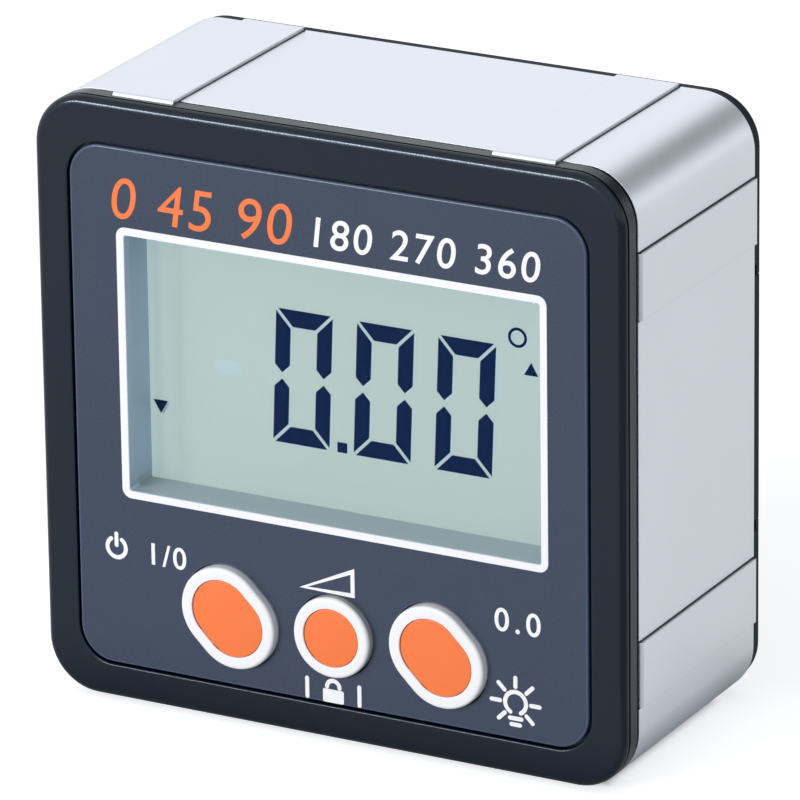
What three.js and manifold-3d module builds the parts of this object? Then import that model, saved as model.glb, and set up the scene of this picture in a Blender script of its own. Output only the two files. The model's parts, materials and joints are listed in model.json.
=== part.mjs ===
// A pocket digital inclinometer: a black front bezel with an inlaid face plate, a display and
// three keys, an aluminium frame with raised measuring pads, and a black back cover with two
// AAA cells behind a sliding door. Millimetres, +Z up, the display faces -Y.
// The origin is the middle of the footprint, on the surface that the base pads stand on.

import * as THREE from 'three';
import { mergeVertices } from 'three/addons/utils/BufferGeometryUtils.js';
import Module from 'manifold-3d';

const wasm = await Module();
wasm.setup();

// Counts of segments on round forms
const cornerSegments = 6;
const keySegments = 10;
const edgeSegments = 3;
const roundSegments = 28;
const smallRoundSegments = 14;

// Cuts run past the face that they open by this much
const overrun = 0.5;

// Flat faces that rest on each other keep this gap
const seatGap = 0.05;

// Case corners and the depths of its front and back parts
const cornerRadius = 4.7;
const bezelDepth = 2.35;
const bezelSeam = 0.25;
const coverSeam = 0.1;
const coverRim = 1.4;

// Aluminium frame
const frameWall = 2.2;
const frameEdge = 0.2;
const padProud = 0.3;
const padWidth = 5.8;
const basePadInset = 6.95;
const sidePadInset = 7.0;
const tabLength = 1.15;
const tabSink = 0.7;
const tabClearance = 0.1;

// Magnets in the base
const magnetRadius = 4.0;
const magnetThickness = 1.5;
const magnetPitch = 17.0;
const magnetClearance = 0.1;

// Front bezel
const bezelEdge = 0.7;
const sideGrooveStart = 0.76;
const sideGrooveWidth = 0.24;
const sideGrooveDepth = 0.25;
const bezelLip = 2.25;
const lipWall = 1.2;
const lipClearance = 0.15;
const sideBorder = 3.0;
const topBorder = 3.6;
const bottomBorder = 2.9;
const pocketRadius = 3.45;

// Face plate
const plateThickness = 0.7;
const plateBond = 0.05;
const plateGroove = 0.4;
const plateEdge = 0.12;

// Display window
const windowWidth = 39.2;
const windowHeight = 22.9;
const windowRadius = 0.2;
const windowX = 0.42;
const titleStrip = 8.03;
const lensClearance = 0.05;
const lensFlange = 1.0;
const lensFlangeThickness = 0.6;

// Display stack behind the window
const displayRecess = 3.9;
const glassSideMargin = 1.2;
const glassEndMargin = 2.25;
const glassThickness = 1.1;
const glassClearance = 0.15;
const shroudWall = 1.05;
const shroudClearance = 0.3;
const holderWall = 1.0;
const holderGap = 0.3;
const holderClearance = 0.3;
const lightGuideThickness = 1.5;
const stackClearance = 0.1;
const stripThickness = 1.4;
const stripClearance = 0.15;
const stripEndMargin = 1.8;
const ledLength = 1.6;
const ledWidth = 3.0;
const ledHeight = 0.9;

// Main board
const boardThickness = 1.2;
const boardClearance = 0.3;
const boardFrontGap = 0.3;
const boardBackGap = 0.55;

// Keys
const keySpacing = 0.47;
const keyHeadroom = 5.24;
const keyFootroom = 2.17;
const keyProud = 0.8;
const keyShoulder = 0.3;
const keyClearance = 0.12;
const sideKeyRadius = 3.9;
const sideKeyHalfStraight = 0.82;
const sideKeyTurn = -Math.PI / 4;
const sideKeyRing = 1.12;
const roundKeyRadius = 3.6;
const roundKeyRing = 1.02;
const inlayThickness = 0.4;
const inlayClearance = 0.04;
const keyFlange = 0.7;
const keyFlangeThickness = 0.6;
const keyFlangeGap = 0.3;
const keyStemRadius = 1.6;

// Key switches on the board
const switchSide = 6.0;
const switchHeight = 3.3;
const plungerRadius = 1.7;
const plungerProud = 0.5;
const plungerSink = 1.2;
const plungerClearance = 0.15;
const plungerRoom = 0.7;

// Chips and crystal on the back of the board, placed from the middle of the case
const chipSide = 9.0;
const chipHeight = 1.5;
const chipX = -6.0;
const chipZ = 3.0;
const sensorSide = 5.0;
const sensorHeight = 1.4;
const sensorX = 9.0;
const sensorZ = -2.0;
const crystalRadius = 1.0;
const crystalLength = 6.0;
const crystalX = -6.0;
const crystalZ = -15.5;

// Corner bosses and case screws
const bossRadius = 2.4;
const bossWallGap = 0.55;
const coverBossLength = 6.45;
const bossGap = 0.2;
const bossNotchClearance = 0.3;
const screwRadius = 1.15;
const screwHeadRadius = 2.1;
const screwHeadHeight = 1.5;
const screwHeadRecess = 0.3;
const screwLength = 12.2;
const screwTip = 0.8;
const pilotSpare = 0.5;
const screwClearance = 0.15;
const headClearance = 0.25;
const coverHoleClearance = 0.3;
const crossWidth = 0.5;
const crossLength = 2.5;
const crossDepth = 0.7;

// Board screws and the short bosses that they go into
const boardBossRadius = 1.8;
const boardScrewRadius = 0.75;
const boardScrewHeadRadius = 1.6;
const boardScrewHeadHeight = 1.0;
const boardScrewLength = 4.4;
const boardScrewTip = 0.5;
const boardBossGap = 0.7;
const boardCrossWidth = 0.4;
const boardCrossLength = 1.8;
const boardCrossDepth = 0.5;

// Cells and their tray
const cellRadius = 5.25;
const cellLength = 44.5;
const cellEdge = 0.4;
const nubRadius = 1.9;
const nubLength = 0.8;
const cellGap = 0.3;
const cellBackGap = 0.9;
const trayWall = 1.0;
const trayClearance = 0.2;

// Battery contacts
const contactThickness = 0.4;
const contactGap = 0.1;
const contactHeight = 8.6;
const contactDepth = 9.5;
const contactEndGap = 0.3;
const springRoom = 2.8;
const springWire = 0.4;
const springWideRadius = 3.2;
const springNarrowRadius = 1.9;
const springTurns = 2.5;
const springStepsPerTurn = 10;
const springSides = 6;
const springGap = 0.1;
const tailWidth = 2.0;
const tailGap = 0.2;
const tailClearance = 0.2;

// Back cover and battery door
const coverInset = 0.3;
const coverEdge = 0.5;
const coverPlate = 2.4;
const coverLip = 1.2;
const doorClearance = 0.1;
const doorTongue = 0.9;
const doorTongueThickness = 0.6;
const doorEndCover = 0.4;
const gripLength = 9.0;
const gripHeight = 9.0;
const gripDepth = 0.5;
const gripInset = 5.0;
const gripRibs = 4;
const gripRibWidth = 0.8;

// Depths that follow, counted from the face of the bezel towards the back
const frameFront = bezelDepth + bezelSeam;
const holderFront = bezelDepth + holderGap;
const lensFlangeFront = plateThickness + plateBond + lensClearance;
const lensBack = lensFlangeFront + lensFlangeThickness;
const frontGlassBack = displayRecess + glassThickness;
const glassBack = frontGlassBack + glassThickness;
const lightGuideFront = glassBack + stackClearance;
const boardFront = lightGuideFront + lightGuideThickness + boardFrontGap;
const boardBack = boardFront + boardThickness;
const trayFloor = boardBack + 2 * crystalRadius + boardBackGap + trayWall;
const cellDepth = trayFloor + cellGap + cellRadius;
const coverFront = cellDepth + cellRadius + cellBackGap;
const caseDepth = coverFront + coverRim;
const frameBack = coverFront - coverSeam;
const frameLength = frameBack - frameFront;
const bossTop = coverFront - coverBossLength;

// Heights that follow: the face is as high as its title strip, window and keys with their borders
const sideKeyReach = sideKeyRadius + sideKeyHalfStraight * Math.cos(sideKeyTurn);
const pocketHeight = titleStrip + windowHeight + keyHeadroom + 2 * sideKeyReach + keyFootroom;
const caseHeight = topBorder + pocketHeight + bottomBorder;
const pocketZ = (bottomBorder - topBorder) / 2;
const keyRowZ = bottomBorder + keyFootroom + sideKeyReach - caseHeight / 2;
const windowZ = keyRowZ + sideKeyReach + keyHeadroom + windowHeight / 2;
const boreHeight = caseHeight - 2 * frameWall;

// Sizes of the display's plates and of the tray that follow
const glassWidth = windowWidth + 2 * glassSideMargin;
const frontGlassHeight = windowHeight + 2 * glassEndMargin;
const rearGlassHeight = frontGlassHeight - 2 * (stripThickness + 2 * stripClearance);
const lightGuideWidth = glassWidth - 2 * (ledLength + 2 * stackClearance);
const holderPocketWidth = glassWidth + 2 * glassClearance;
const holderPocketHeight = frontGlassHeight + 2 * glassClearance;
const holderWidth = holderPocketWidth + 2 * holderWall;
const cellPitch = 2 * cellRadius + cellGap;
const trayHeight = 2 * cellPitch + cellGap;
const contactStack = contactGap + contactThickness;
const trayLength = 2 * contactStack + springRoom + cellLength + contactEndGap;

// Widths that follow: the case is as wide inside as the tray, or as the display's holder in its
// ring, whichever needs more
const trayRoom = trayLength + 2 * (trayWall + trayClearance);
const holderRoom = holderWidth + 2 * (Math.abs(windowX) + holderClearance + lipWall + lipClearance);
const boreWidth = Math.max(trayRoom, holderRoom);
const boreRadius = cornerRadius - frameWall;
const caseWidth = boreWidth + 2 * frameWall;
const pocketWidth = caseWidth - 2 * sideBorder;
const shroudWidth = windowWidth + 2 * shroudWall;
const shroudHeight = windowHeight + 2 * shroudWall;
const shroudHoleWidth = shroudWidth + 2 * shroudClearance;
const shroudHoleHeight = shroudHeight + 2 * shroudClearance;
const bossX = boreWidth / 2 - bossRadius - bossWallGap;
const bossZ = boreHeight / 2 - bossRadius - bossWallGap;
const boardScrewX = bossX - bossRadius - boardBossGap - boardBossRadius;
const boardScrewZ = boreHeight / 2 - boardBossRadius - boardBossGap;
const keyPitch = sideKeyReach + roundKeyRadius + 2 * keyFlange + keySpacing;

// The keys: where each stands, the radius of its ends, the width of its white ring, half of the
// straight between its ends, and how far it is turned as seen from the front
const keys = [
  { name: 'power', x: windowX - keyPitch, radius: sideKeyRadius, ring: sideKeyRing,
    halfStraight: sideKeyHalfStraight, turn: sideKeyTurn },
  { name: 'hold', x: windowX, radius: roundKeyRadius, ring: roundKeyRing,
    halfStraight: 0, turn: 0 },
  { name: 'zero', x: windowX + keyPitch, radius: sideKeyRadius, ring: sideKeyRing,
    halfStraight: sideKeyHalfStraight, turn: sideKeyTurn },
];

// Finishes
const finish = (color, roughness, metalness) =>
  new THREE.MeshStandardMaterial({ color, roughness, metalness });
const finishes = {
  blackPlastic: finish(0x2b3036, 0.45, 0),
  facePlastic: finish(0x424b59, 0.35, 0),
  clearPlastic: finish(0xe8f0f2, 0.05, 0),
  displayGlass: finish(0xb0c4c2, 0.2, 0),
  slatePlastic: finish(0x73848f, 0.5, 0),
  frostedPlastic: finish(0xf2f4ee, 0.6, 0),
  contactRubber: finish(0x3a3a3c, 0.8, 0),
  whitePlastic: finish(0xf4f5f8, 0.4, 0),
  orangePlastic: finish(0xff8750, 0.45, 0),
  aluminium: finish(0xd5d9e0, 0.35, 1),
  magnet: finish(0xb8bbc0, 0.25, 1),
  board: finish(0x1f5a36, 0.5, 0),
  chip: finish(0x1a1a1c, 0.5, 0),
  ledYellow: finish(0xf3e7a0, 0.3, 0),
  steel: finish(0xb4b6ba, 0.3, 1),
  cellJacket: finish(0x3f6f8f, 0.35, 0.4),
};

// A closed three.js geometry as a solid that can be cut and joined
function solid(geometry) {
  const bare = geometry.clone();
  bare.deleteAttribute('normal');
  bare.deleteAttribute('uv');
  const merged = mergeVertices(bare);
  return new wasm.Manifold(new wasm.Mesh({
    numProp: 3,
    vertProperties: new Float32Array(merged.attributes.position.array),
    triVerts: new Uint32Array(merged.index.array),
  }));
}

// A solid back as a three.js geometry
function geometryOf(shape) {
  const mesh = shape.getMesh();
  const geometry = new THREE.BufferGeometry();
  geometry.setAttribute('position', new THREE.BufferAttribute(mesh.vertProperties, 3));
  geometry.setIndex(new THREE.BufferAttribute(mesh.triVerts, 1));
  geometry.computeVertexNormals();
  return geometry;
}

// A rounded rectangle around (x, z), as seen from the front
function roundedOutline(width, height, radius, x = 0, z = 0) {
  const right = x + width / 2 - radius;
  const left = x - width / 2 + radius;
  const top = z + height / 2 - radius;
  const bottom = z - height / 2 + radius;
  const shape = new THREE.Shape();
  shape.absarc(right, bottom, radius, -Math.PI / 2, 0);
  shape.absarc(right, top, radius, 0, Math.PI / 2);
  shape.absarc(left, top, radius, Math.PI / 2, Math.PI);
  shape.absarc(left, bottom, radius, Math.PI, 1.5 * Math.PI);
  return shape;
}

// The outline of a key: two half circles, joined by straights where the key is long
function keyOutline(key, growth) {
  const radius = key.radius + growth;
  const reachX = key.halfStraight * Math.cos(key.turn);
  const reachZ = key.halfStraight * Math.sin(key.turn);
  const shape = new THREE.Shape();
  const start = key.turn - Math.PI / 2;
  shape.absarc(key.x + reachX, keyRowZ + reachZ, radius, start, start + Math.PI);
  shape.absarc(key.x - reachX, keyRowZ - reachZ, radius, start + Math.PI, start + 2 * Math.PI);
  return shape;
}

// An outline carried from one depth to another, with an optional rounded edge at both ends
function slab(shape, from, to, edge = 0, segments = cornerSegments) {
  const geometry = new THREE.ExtrudeGeometry(shape, {
    depth: to - from - 2 * edge,
    curveSegments: segments,
    bevelEnabled: edge > 0,
    bevelThickness: edge,
    bevelSize: edge,
    bevelOffset: -edge,
    bevelSegments: edgeSegments,
  });
  geometry.rotateX(Math.PI / 2);
  geometry.translate(0, to - edge, 0);
  return solid(geometry);
}

// The same, rounded at its front edge only
function frontRounded(shape, from, to, edge, segments = cornerSegments) {
  return slab(shape, from, to, edge, segments)
    .add(slab(shape, (from + to) / 2, to, 0, segments));
}

// The same, rounded at its back edge only
function backRounded(shape, from, to, edge) {
  return slab(shape, from, to, edge).add(slab(shape, from, (from + to) / 2));
}

// A key's outline, grown by a clearance or a flange, carried from one depth to another
function keySlab(key, growth, from, to) {
  return slab(keyOutline(key, growth), from, to, 0, keySegments);
}

// A box given by its limits across, in depth and in height
function block(x0, x1, d0, d1, z0, z1) {
  const geometry = new THREE.BoxGeometry(x1 - x0, d1 - d0, z1 - z0);
  geometry.translate((x0 + x1) / 2, (d0 + d1) / 2, (z0 + z1) / 2);
  return solid(geometry);
}

// A round pin or hole that runs in depth
function rod(x, z, radius, from, to, segments = smallRoundSegments) {
  const geometry = new THREE.CylinderGeometry(radius, radius, to - from, segments);
  geometry.translate(x, (from + to) / 2, z);
  return solid(geometry);
}

// The four places (+-x, +-z)
const fourPlaces = (x, z) => [[-x, z], [x, z], [-x, -z], [x, -z]];

// The pads of one pair of opposite sides, run from one depth to another. The pads stand proud of
// the case by padProud and reach into it by sink; growth widens them for a clearance.
function padBlocks(from, to, sink, growth, onBase) {
  const middleAcross = onBase
    ? caseWidth / 2 - basePadInset - padWidth / 2
    : caseHeight / 2 - sidePadInset - padWidth / 2;
  const half = (onBase ? caseHeight : caseWidth) / 2;
  const outer = half + padProud;
  const inner = half - sink;
  const blocks = [];
  for (const side of [-1, 1]) {
    for (const middle of [-middleAcross, middleAcross]) {
      const low = middle - padWidth / 2 - growth;
      const high = middle + padWidth / 2 + growth;
      const near = side > 0 ? inner : -outer;
      const far = side > 0 ? outer : -inner;
      blocks.push(onBase
        ? block(low, high, from, to, near, far)
        : block(near, far, from, to, low, high));
    }
  }
  return blocks;
}

const caseOutline = () => roundedOutline(caseWidth, caseHeight, cornerRadius);

// An outline as large as the frame's bore, drawn in by a clearance and a wall
const boreOutline = (inset) => roundedOutline(
  boreWidth - 2 * inset, boreHeight - 2 * inset, boreRadius - inset);

function lipRing(from, to) {
  const middle = lipClearance + lipWall;
  return slab(boreOutline(lipClearance), from, to)
    .subtract(slab(boreOutline(middle), from - overrun, to + overrun));
}

function makeFrame() {
  let frame = slab(caseOutline(), frameFront, frameBack, frameEdge);
  const padSink = frameWall / 2;
  for (const pad of padBlocks(frameFront, frameBack, padSink, 0, false)) {
    frame = frame.add(pad);
  }
  const tabFront = frameFront - tabLength;
  for (const pad of padBlocks(frameFront, frameBack, padSink, 0, true)) {
    frame = frame.add(pad);
  }
  for (const tab of padBlocks(tabFront, frameFront + frameWall, tabSink, 0, true)) {
    frame = frame.add(tab);
  }
  const bore = roundedOutline(boreWidth, boreHeight, boreRadius);
  frame = frame.subtract(slab(bore, frameFront - overrun, frameBack + overrun));
  for (const x of [-magnetPitch / 2, magnetPitch / 2]) {
    frame = frame.subtract(magnetDisc(x, magnetClearance, overrun));
  }
  return frame;
}

// A disc in the underside of the frame, or the pocket that it sits in
function magnetDisc(x, growth, runPast) {
  const height = magnetThickness + growth + runPast;
  const radius = magnetRadius + growth;
  const disc = new THREE.CylinderGeometry(radius, radius, height, roundSegments);
  disc.rotateX(Math.PI / 2);
  const base = -caseHeight / 2;
  disc.translate(x, frameFront + frameLength / 2, base - runPast + height / 2);
  return solid(disc);
}

function makeBezel() {
  let bezel = frontRounded(caseOutline(), 0, bezelDepth, bezelEdge);
  bezel = bezel.add(lipRing(bezelDepth - overrun, bezelDepth + bezelLip));
  for (const [x, z] of fourPlaces(bossX, bossZ)) {
    bezel = bezel.add(rod(x, z, bossRadius, bezelDepth - overrun, bossTop));
  }
  const boardSeat = boardFront - seatGap;
  for (const [x, z] of fourPlaces(boardScrewX, boardScrewZ)) {
    bezel = bezel.add(rod(x, z, boardBossRadius, bezelDepth - overrun, boardSeat));
  }
  const grooveEnd = sideGrooveStart + sideGrooveWidth;
  const core = roundedOutline(caseWidth - 2 * sideGrooveDepth, caseHeight - 2 * sideGrooveDepth,
    cornerRadius - sideGrooveDepth);
  const around = roundedOutline(caseWidth + 2 * overrun, caseHeight + 2 * overrun,
    cornerRadius + overrun);
  const groove = slab(around, sideGrooveStart, grooveEnd)
    .subtract(slab(core, sideGrooveStart - overrun, grooveEnd + overrun));
  bezel = bezel.subtract(groove);
  const tabFront = frameFront - tabLength - tabClearance;
  for (const notch of padBlocks(tabFront, bezelDepth + overrun, tabSink + tabClearance,
    tabClearance, true)) {
    bezel = bezel.subtract(notch);
  }
  const pocket = roundedOutline(pocketWidth, pocketHeight, pocketRadius, 0, pocketZ);
  bezel = bezel.subtract(slab(pocket, -overrun, plateThickness + plateBond));
  const shroudHole = roundedOutline(shroudHoleWidth, shroudHoleHeight, windowRadius,
    windowX, windowZ);
  bezel = bezel.subtract(slab(shroudHole, 0, bezelDepth + overrun, 0, 1));
  for (const key of keys) {
    bezel = bezel.subtract(keySlab(key, keyClearance, 0, bezelDepth + overrun));
  }
  for (const [x, z] of fourPlaces(bossX, bossZ)) {
    bezel = bezel.subtract(rod(x, z, screwRadius + screwClearance,
      caseScrewSize.seat - screwLength - pilotSpare, bossTop + overrun));
  }
  for (const [x, z] of fourPlaces(boardScrewX, boardScrewZ)) {
    bezel = bezel.subtract(rod(x, z, boardScrewRadius + screwClearance,
      boardScrewSize.seat - boardScrewLength - pilotSpare, boardFront + overrun));
  }
  return bezel;
}

function makeFacePlate() {
  const outline = roundedOutline(pocketWidth - 2 * plateGroove, pocketHeight - 2 * plateGroove,
    pocketRadius - plateGroove, 0, pocketZ);
  let plate = frontRounded(outline, 0, plateThickness, plateEdge);
  const window = roundedOutline(windowWidth, windowHeight, windowRadius, windowX, windowZ);
  plate = plate.subtract(slab(window, -overrun, plateThickness + overrun, 0, 1));
  for (const key of keys) {
    plate = plate.subtract(keySlab(key, keyClearance, -overrun, plateThickness + overrun));
  }
  return plate;
}

function makeWindow() {
  const face = roundedOutline(windowWidth - 2 * lensClearance, windowHeight - 2 * lensClearance,
    windowRadius, windowX, windowZ);
  const flange = roundedOutline(windowWidth + 2 * lensFlange, windowHeight + 2 * lensFlange,
    windowRadius, windowX, windowZ);
  return slab(face, 0, lensBack, 0, 1).add(slab(flange, lensFlangeFront, lensBack, 0, 1));
}

// The display's plates and holder are all centred on the window
function displayBlock(width, height, from, to) {
  return block(windowX - width / 2, windowX + width / 2, from, to,
    windowZ - height / 2, windowZ + height / 2);
}

function makeGlass() {
  return displayBlock(glassWidth, frontGlassHeight, displayRecess, frontGlassBack)
    .add(displayBlock(glassWidth, rearGlassHeight, frontGlassBack, glassBack));
}

function makeHolder() {
  const holderBack = boardFront - seatGap;
  const shroudFront = lensBack + stackClearance;
  const ledge = displayRecess - seatGap;
  return displayBlock(shroudWidth, shroudHeight, shroudFront, ledge)
    .add(displayBlock(holderWidth, holderPocketHeight + 2 * holderWall,
      holderFront, holderBack))
    .subtract(displayBlock(windowWidth, windowHeight, shroudFront - overrun, ledge + overrun))
    .subtract(displayBlock(holderPocketWidth, holderPocketHeight, ledge, holderBack + overrun));
}

function makeLightGuide() {
  return displayBlock(lightGuideWidth, rearGlassHeight, lightGuideFront,
    lightGuideFront + lightGuideThickness);
}

function makeLed(side) {
  const near = lightGuideWidth / 2 + stackClearance;
  const x = windowX + side * (near + ledLength / 2);
  const back = boardFront - seatGap;
  return block(x - ledLength / 2, x + ledLength / 2, back - ledHeight, back,
    windowZ - ledWidth / 2, windowZ + ledWidth / 2);
}

// The rubber strips join the ledges of the front glass to the board
function makeContactStrip(side) {
  const near = windowZ + side * (rearGlassHeight / 2 + stripClearance);
  const far = near + side * stripThickness;
  const reach = glassWidth / 2 - stripEndMargin;
  return block(windowX - reach, windowX + reach,
    frontGlassBack + seatGap, boardFront - seatGap, Math.min(near, far), Math.max(near, far));
}

function makeBoard() {
  let board = slab(boreOutline(boardClearance), boardFront, boardBack);
  for (const [x, z] of fourPlaces(bossX, bossZ)) {
    board = board.subtract(rod(x, z, bossRadius + bossNotchClearance,
      boardFront - overrun, boardBack + overrun));
    const outX = Math.sign(x) * (Math.abs(x) + caseWidth);
    const outZ = Math.sign(z) * (Math.abs(z) + caseHeight);
    board = board.subtract(block(Math.min(x, outX), Math.max(x, outX),
      boardFront - overrun, boardBack + overrun, Math.min(z, outZ), Math.max(z, outZ)));
  }
  for (const [x, z] of fourPlaces(boardScrewX, boardScrewZ)) {
    board = board.subtract(rod(x, z, boardScrewRadius + screwClearance,
      boardFront - overrun, boardBack + overrun));
  }
  return board;
}

// A flat square chip on the back of the board
function makeChip(x, z, side, height) {
  const front = boardBack + seatGap;
  return block(x - side / 2, x + side / 2, front, front + height, z - side / 2, z + side / 2);
}

function makeCrystal() {
  const can = new THREE.CylinderGeometry(crystalRadius, crystalRadius, crystalLength,
    smallRoundSegments);
  can.rotateZ(Math.PI / 2);
  can.translate(crystalX, boardBack + seatGap + crystalRadius, crystalZ);
  return solid(can);
}

// Depths in a key and its switch, which carry each other
const flangeFront = bezelDepth + keyFlangeGap;
const flangeBack = flangeFront + keyFlangeThickness;
const switchBack = boardFront - seatGap;
const switchFront = switchBack - switchHeight;
const plungerFront = switchFront - plungerProud;

function makeKeyCap(key) {
  return frontRounded(keyOutline(key, 0), -keyProud, flangeBack, keyShoulder, keySegments)
    .add(keySlab(key, keyFlange, flangeFront, flangeBack))
    .add(rod(key.x, keyRowZ, keyStemRadius, flangeFront, plungerFront - seatGap))
    .subtract(keySlab(key, inlayClearance - key.ring, -keyProud - overrun,
      inlayThickness + seatGap - keyProud));
}

function makeKeyInlay(key) {
  return keySlab(key, -key.ring, -keyProud, inlayThickness - keyProud);
}

function makeSwitchBody(key) {
  const half = switchSide / 2;
  const wellDepth = switchFront + plungerSink + plungerRoom;
  return block(key.x - half, key.x + half, switchFront, switchBack, keyRowZ - half, keyRowZ + half)
    .subtract(rod(key.x, keyRowZ, plungerRadius + plungerClearance,
      switchFront - overrun, wellDepth));
}

function makePlunger(key) {
  return rod(key.x, keyRowZ, plungerRadius, plungerFront, switchFront + plungerSink);
}

// A pan-head screw that points to the front, its head's top at the given depth
function makeScrew(x, z, size) {
  const profile = [
    [0, -size.length],
    [size.radius - size.tip / 2, -size.length],
    [size.radius, size.tip - size.length],
    [size.radius, 0],
    [size.headRadius, 0],
    [size.headRadius, size.headHeight / 2],
    [size.headRadius - size.headHeight / 2, size.headHeight],
    [0, size.headHeight],
  ].map(([radius, height]) => new THREE.Vector2(radius, height));
  const turned = new THREE.LatheGeometry(profile, smallRoundSegments);
  turned.translate(x, size.seat, z);
  const top = size.seat + size.headHeight;
  const halfLong = size.crossLength / 2;
  const halfWide = size.crossWidth / 2;
  const floor = top - size.crossDepth;
  return solid(turned)
    .subtract(block(x - halfLong, x + halfLong, floor, top + overrun, z - halfWide, z + halfWide))
    .subtract(block(x - halfWide, x + halfWide, floor, top + overrun, z - halfLong, z + halfLong));
}

const caseScrewSize = {
  radius: screwRadius, headRadius: screwHeadRadius, headHeight: screwHeadHeight,
  length: screwLength, tip: screwTip, seat: caseDepth - screwHeadRecess - screwHeadHeight,
  crossLength, crossWidth, crossDepth,
};
const boardScrewSize = {
  radius: boardScrewRadius, headRadius: boardScrewHeadRadius, headHeight: boardScrewHeadHeight,
  length: boardScrewLength, tip: boardScrewTip, seat: boardBack + seatGap,
  crossLength: boardCrossLength, crossWidth: boardCrossWidth, crossDepth: boardCrossDepth,
};

// The cover's outline and back edge, which the door shares where it reaches the side
function coverSlab() {
  const outline = roundedOutline(caseWidth - 2 * coverInset, caseHeight - 2 * coverInset,
    cornerRadius - coverInset);
  return backRounded(outline, coverFront, caseDepth, coverEdge);
}

const doorLeft = doorEndCover - trayLength / 2;
const pastRight = caseWidth / 2 + overrun;
const tongueHeight = trayHeight + 2 * doorTongue;

function makeCover() {
  const plateFront = caseDepth - coverPlate;
  let cover = coverSlab()
    .add(slab(boreOutline(lipClearance), plateFront, coverFront + coverSeam))
    .add(lipRing(plateFront - coverLip, coverFront));
  const trayX = trayLength / 2;
  const trayZ = trayHeight / 2;
  cover = cover.add(block(-trayX - trayWall, trayX + trayWall, trayFloor - trayWall, coverFront,
    -trayZ - trayWall, trayZ + trayWall));
  for (const [x, z] of fourPlaces(bossX, bossZ)) {
    cover = cover.add(rod(x, z, bossRadius, bossTop + bossGap, coverFront));
  }
  const slideFloor = coverFront - doorClearance;
  const slideRoof = coverFront + doorTongueThickness + doorClearance;
  const openX = doorLeft - doorClearance;
  const openZ = trayZ + doorClearance;
  const grooveZ = tongueHeight / 2 + doorClearance;
  cover = cover.subtract(block(-trayX, trayX, trayFloor, slideFloor + doorClearance,
    -trayZ, trayZ));
  cover = cover.subtract(block(openX, pastRight, slideFloor, slideRoof, -grooveZ, grooveZ));
  cover = cover.subtract(block(openX, pastRight, slideFloor, caseDepth + overrun,
    -openZ, openZ));
  for (const [x, z] of fourPlaces(bossX, bossZ)) {
    cover = cover.subtract(rod(x, z, screwRadius + coverHoleClearance,
      bossTop - overrun, caseDepth + overrun));
    cover = cover.subtract(rod(x, z, screwHeadRadius + headClearance,
      caseScrewSize.seat - seatGap, caseDepth + overrun, roundSegments));
  }
  for (const z of [-cellPitch / 2, cellPitch / 2]) {
    const halfTail = tailWidth / 2 + tailClearance;
    const tailX = trayX - contactStack - tailClearance;
    cover = cover.subtract(block(tailX, trayX, trayFloor - trayWall - overrun,
      trayFloor + overrun, z - halfTail, z + halfTail));
  }
  return cover;
}

function makeDoor() {
  const half = trayHeight / 2;
  const tongue = tongueHeight / 2;
  const tongueBack = coverFront + doorTongueThickness;
  let door = coverSlab().intersect(
    block(doorLeft, pastRight, coverFront, caseDepth + overrun, -half, half)
      .add(block(doorLeft, pastRight, coverFront, tongueBack, -tongue, tongue)));
  const gripRight = caseWidth / 2 - gripInset;
  const gripLeft = gripRight - gripLength;
  const gripFloor = caseDepth - gripDepth;
  door = door.subtract(block(gripLeft, gripRight, gripFloor, caseDepth + overrun,
    -gripHeight / 2, gripHeight / 2));
  const step = gripLength / (gripRibs + 1);
  for (let rib = 1; rib <= gripRibs; rib += 1) {
    const x = gripLeft + rib * step;
    door = door.add(block(x - gripRibWidth / 2, x + gripRibWidth / 2, gripFloor - gripDepth,
      caseDepth, -gripHeight / 2, gripHeight / 2));
  }
  return door;
}

// A cell that lies across the case; direction is +1 where its nub points to +X
function makeCell(z, direction) {
  const shoulder = cellLength - nubLength;
  const profile = [
    [0, 0],
    [cellRadius - cellEdge, 0],
    [cellRadius, cellEdge],
    [cellRadius, shoulder - cellEdge],
    [cellRadius - cellEdge, shoulder],
    [nubRadius, shoulder],
    [nubRadius, cellLength],
    [0, cellLength],
  ].map(([radius, height]) => new THREE.Vector2(radius, height));
  const cell = new THREE.LatheGeometry(profile, roundSegments);
  cell.rotateZ(-direction * Math.PI / 2);
  const start = -direction * (trayLength / 2 - contactStack - springRoom);
  cell.translate(start, cellDepth, z);
  return solid(cell);
}

// The plate that joins the two cells, at the tray's left end
function makeBridge() {
  const x = -trayLength / 2 + contactGap;
  const halfHeight = (cellPitch + contactHeight) / 2;
  return block(x, x + contactThickness, cellDepth - contactDepth / 2,
    cellDepth + contactDepth / 2, -halfHeight, halfHeight);
}

// A terminal plate at the tray's right end, with its tail through the floor to the board
function makeTerminal(z) {
  const x = trayLength / 2 - contactStack;
  return block(x, x + contactThickness, cellDepth - contactDepth / 2,
    cellDepth + contactDepth / 2, z - contactHeight / 2, z + contactHeight / 2)
    .add(block(x, x + contactThickness, boardBack + tailGap, cellDepth,
      z - tailWidth / 2, z + tailWidth / 2));
}

// The path of a conical spring, wide on its plate and narrow on its cell
class ConeCoil extends THREE.Curve {
  constructor(length, z, direction) {
    super();
    this.length = length;
    this.z = z;
    this.direction = direction;
  }

  getPoint(t, target = new THREE.Vector3()) {
    const angle = 2 * Math.PI * springTurns * t;
    const radius = springWideRadius + (springNarrowRadius - springWideRadius) * t;
    const plate = trayLength / 2 - contactStack - springGap - springWire / 2;
    return target.set(
      -this.direction * (plate - this.length * t),
      cellDepth + radius * Math.cos(angle),
      this.z + radius * Math.sin(angle),
    );
  }
}

function springPath(z, direction) {
  return new ConeCoil(springRoom - 2 * springGap - springWire, z, direction);
}

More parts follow.
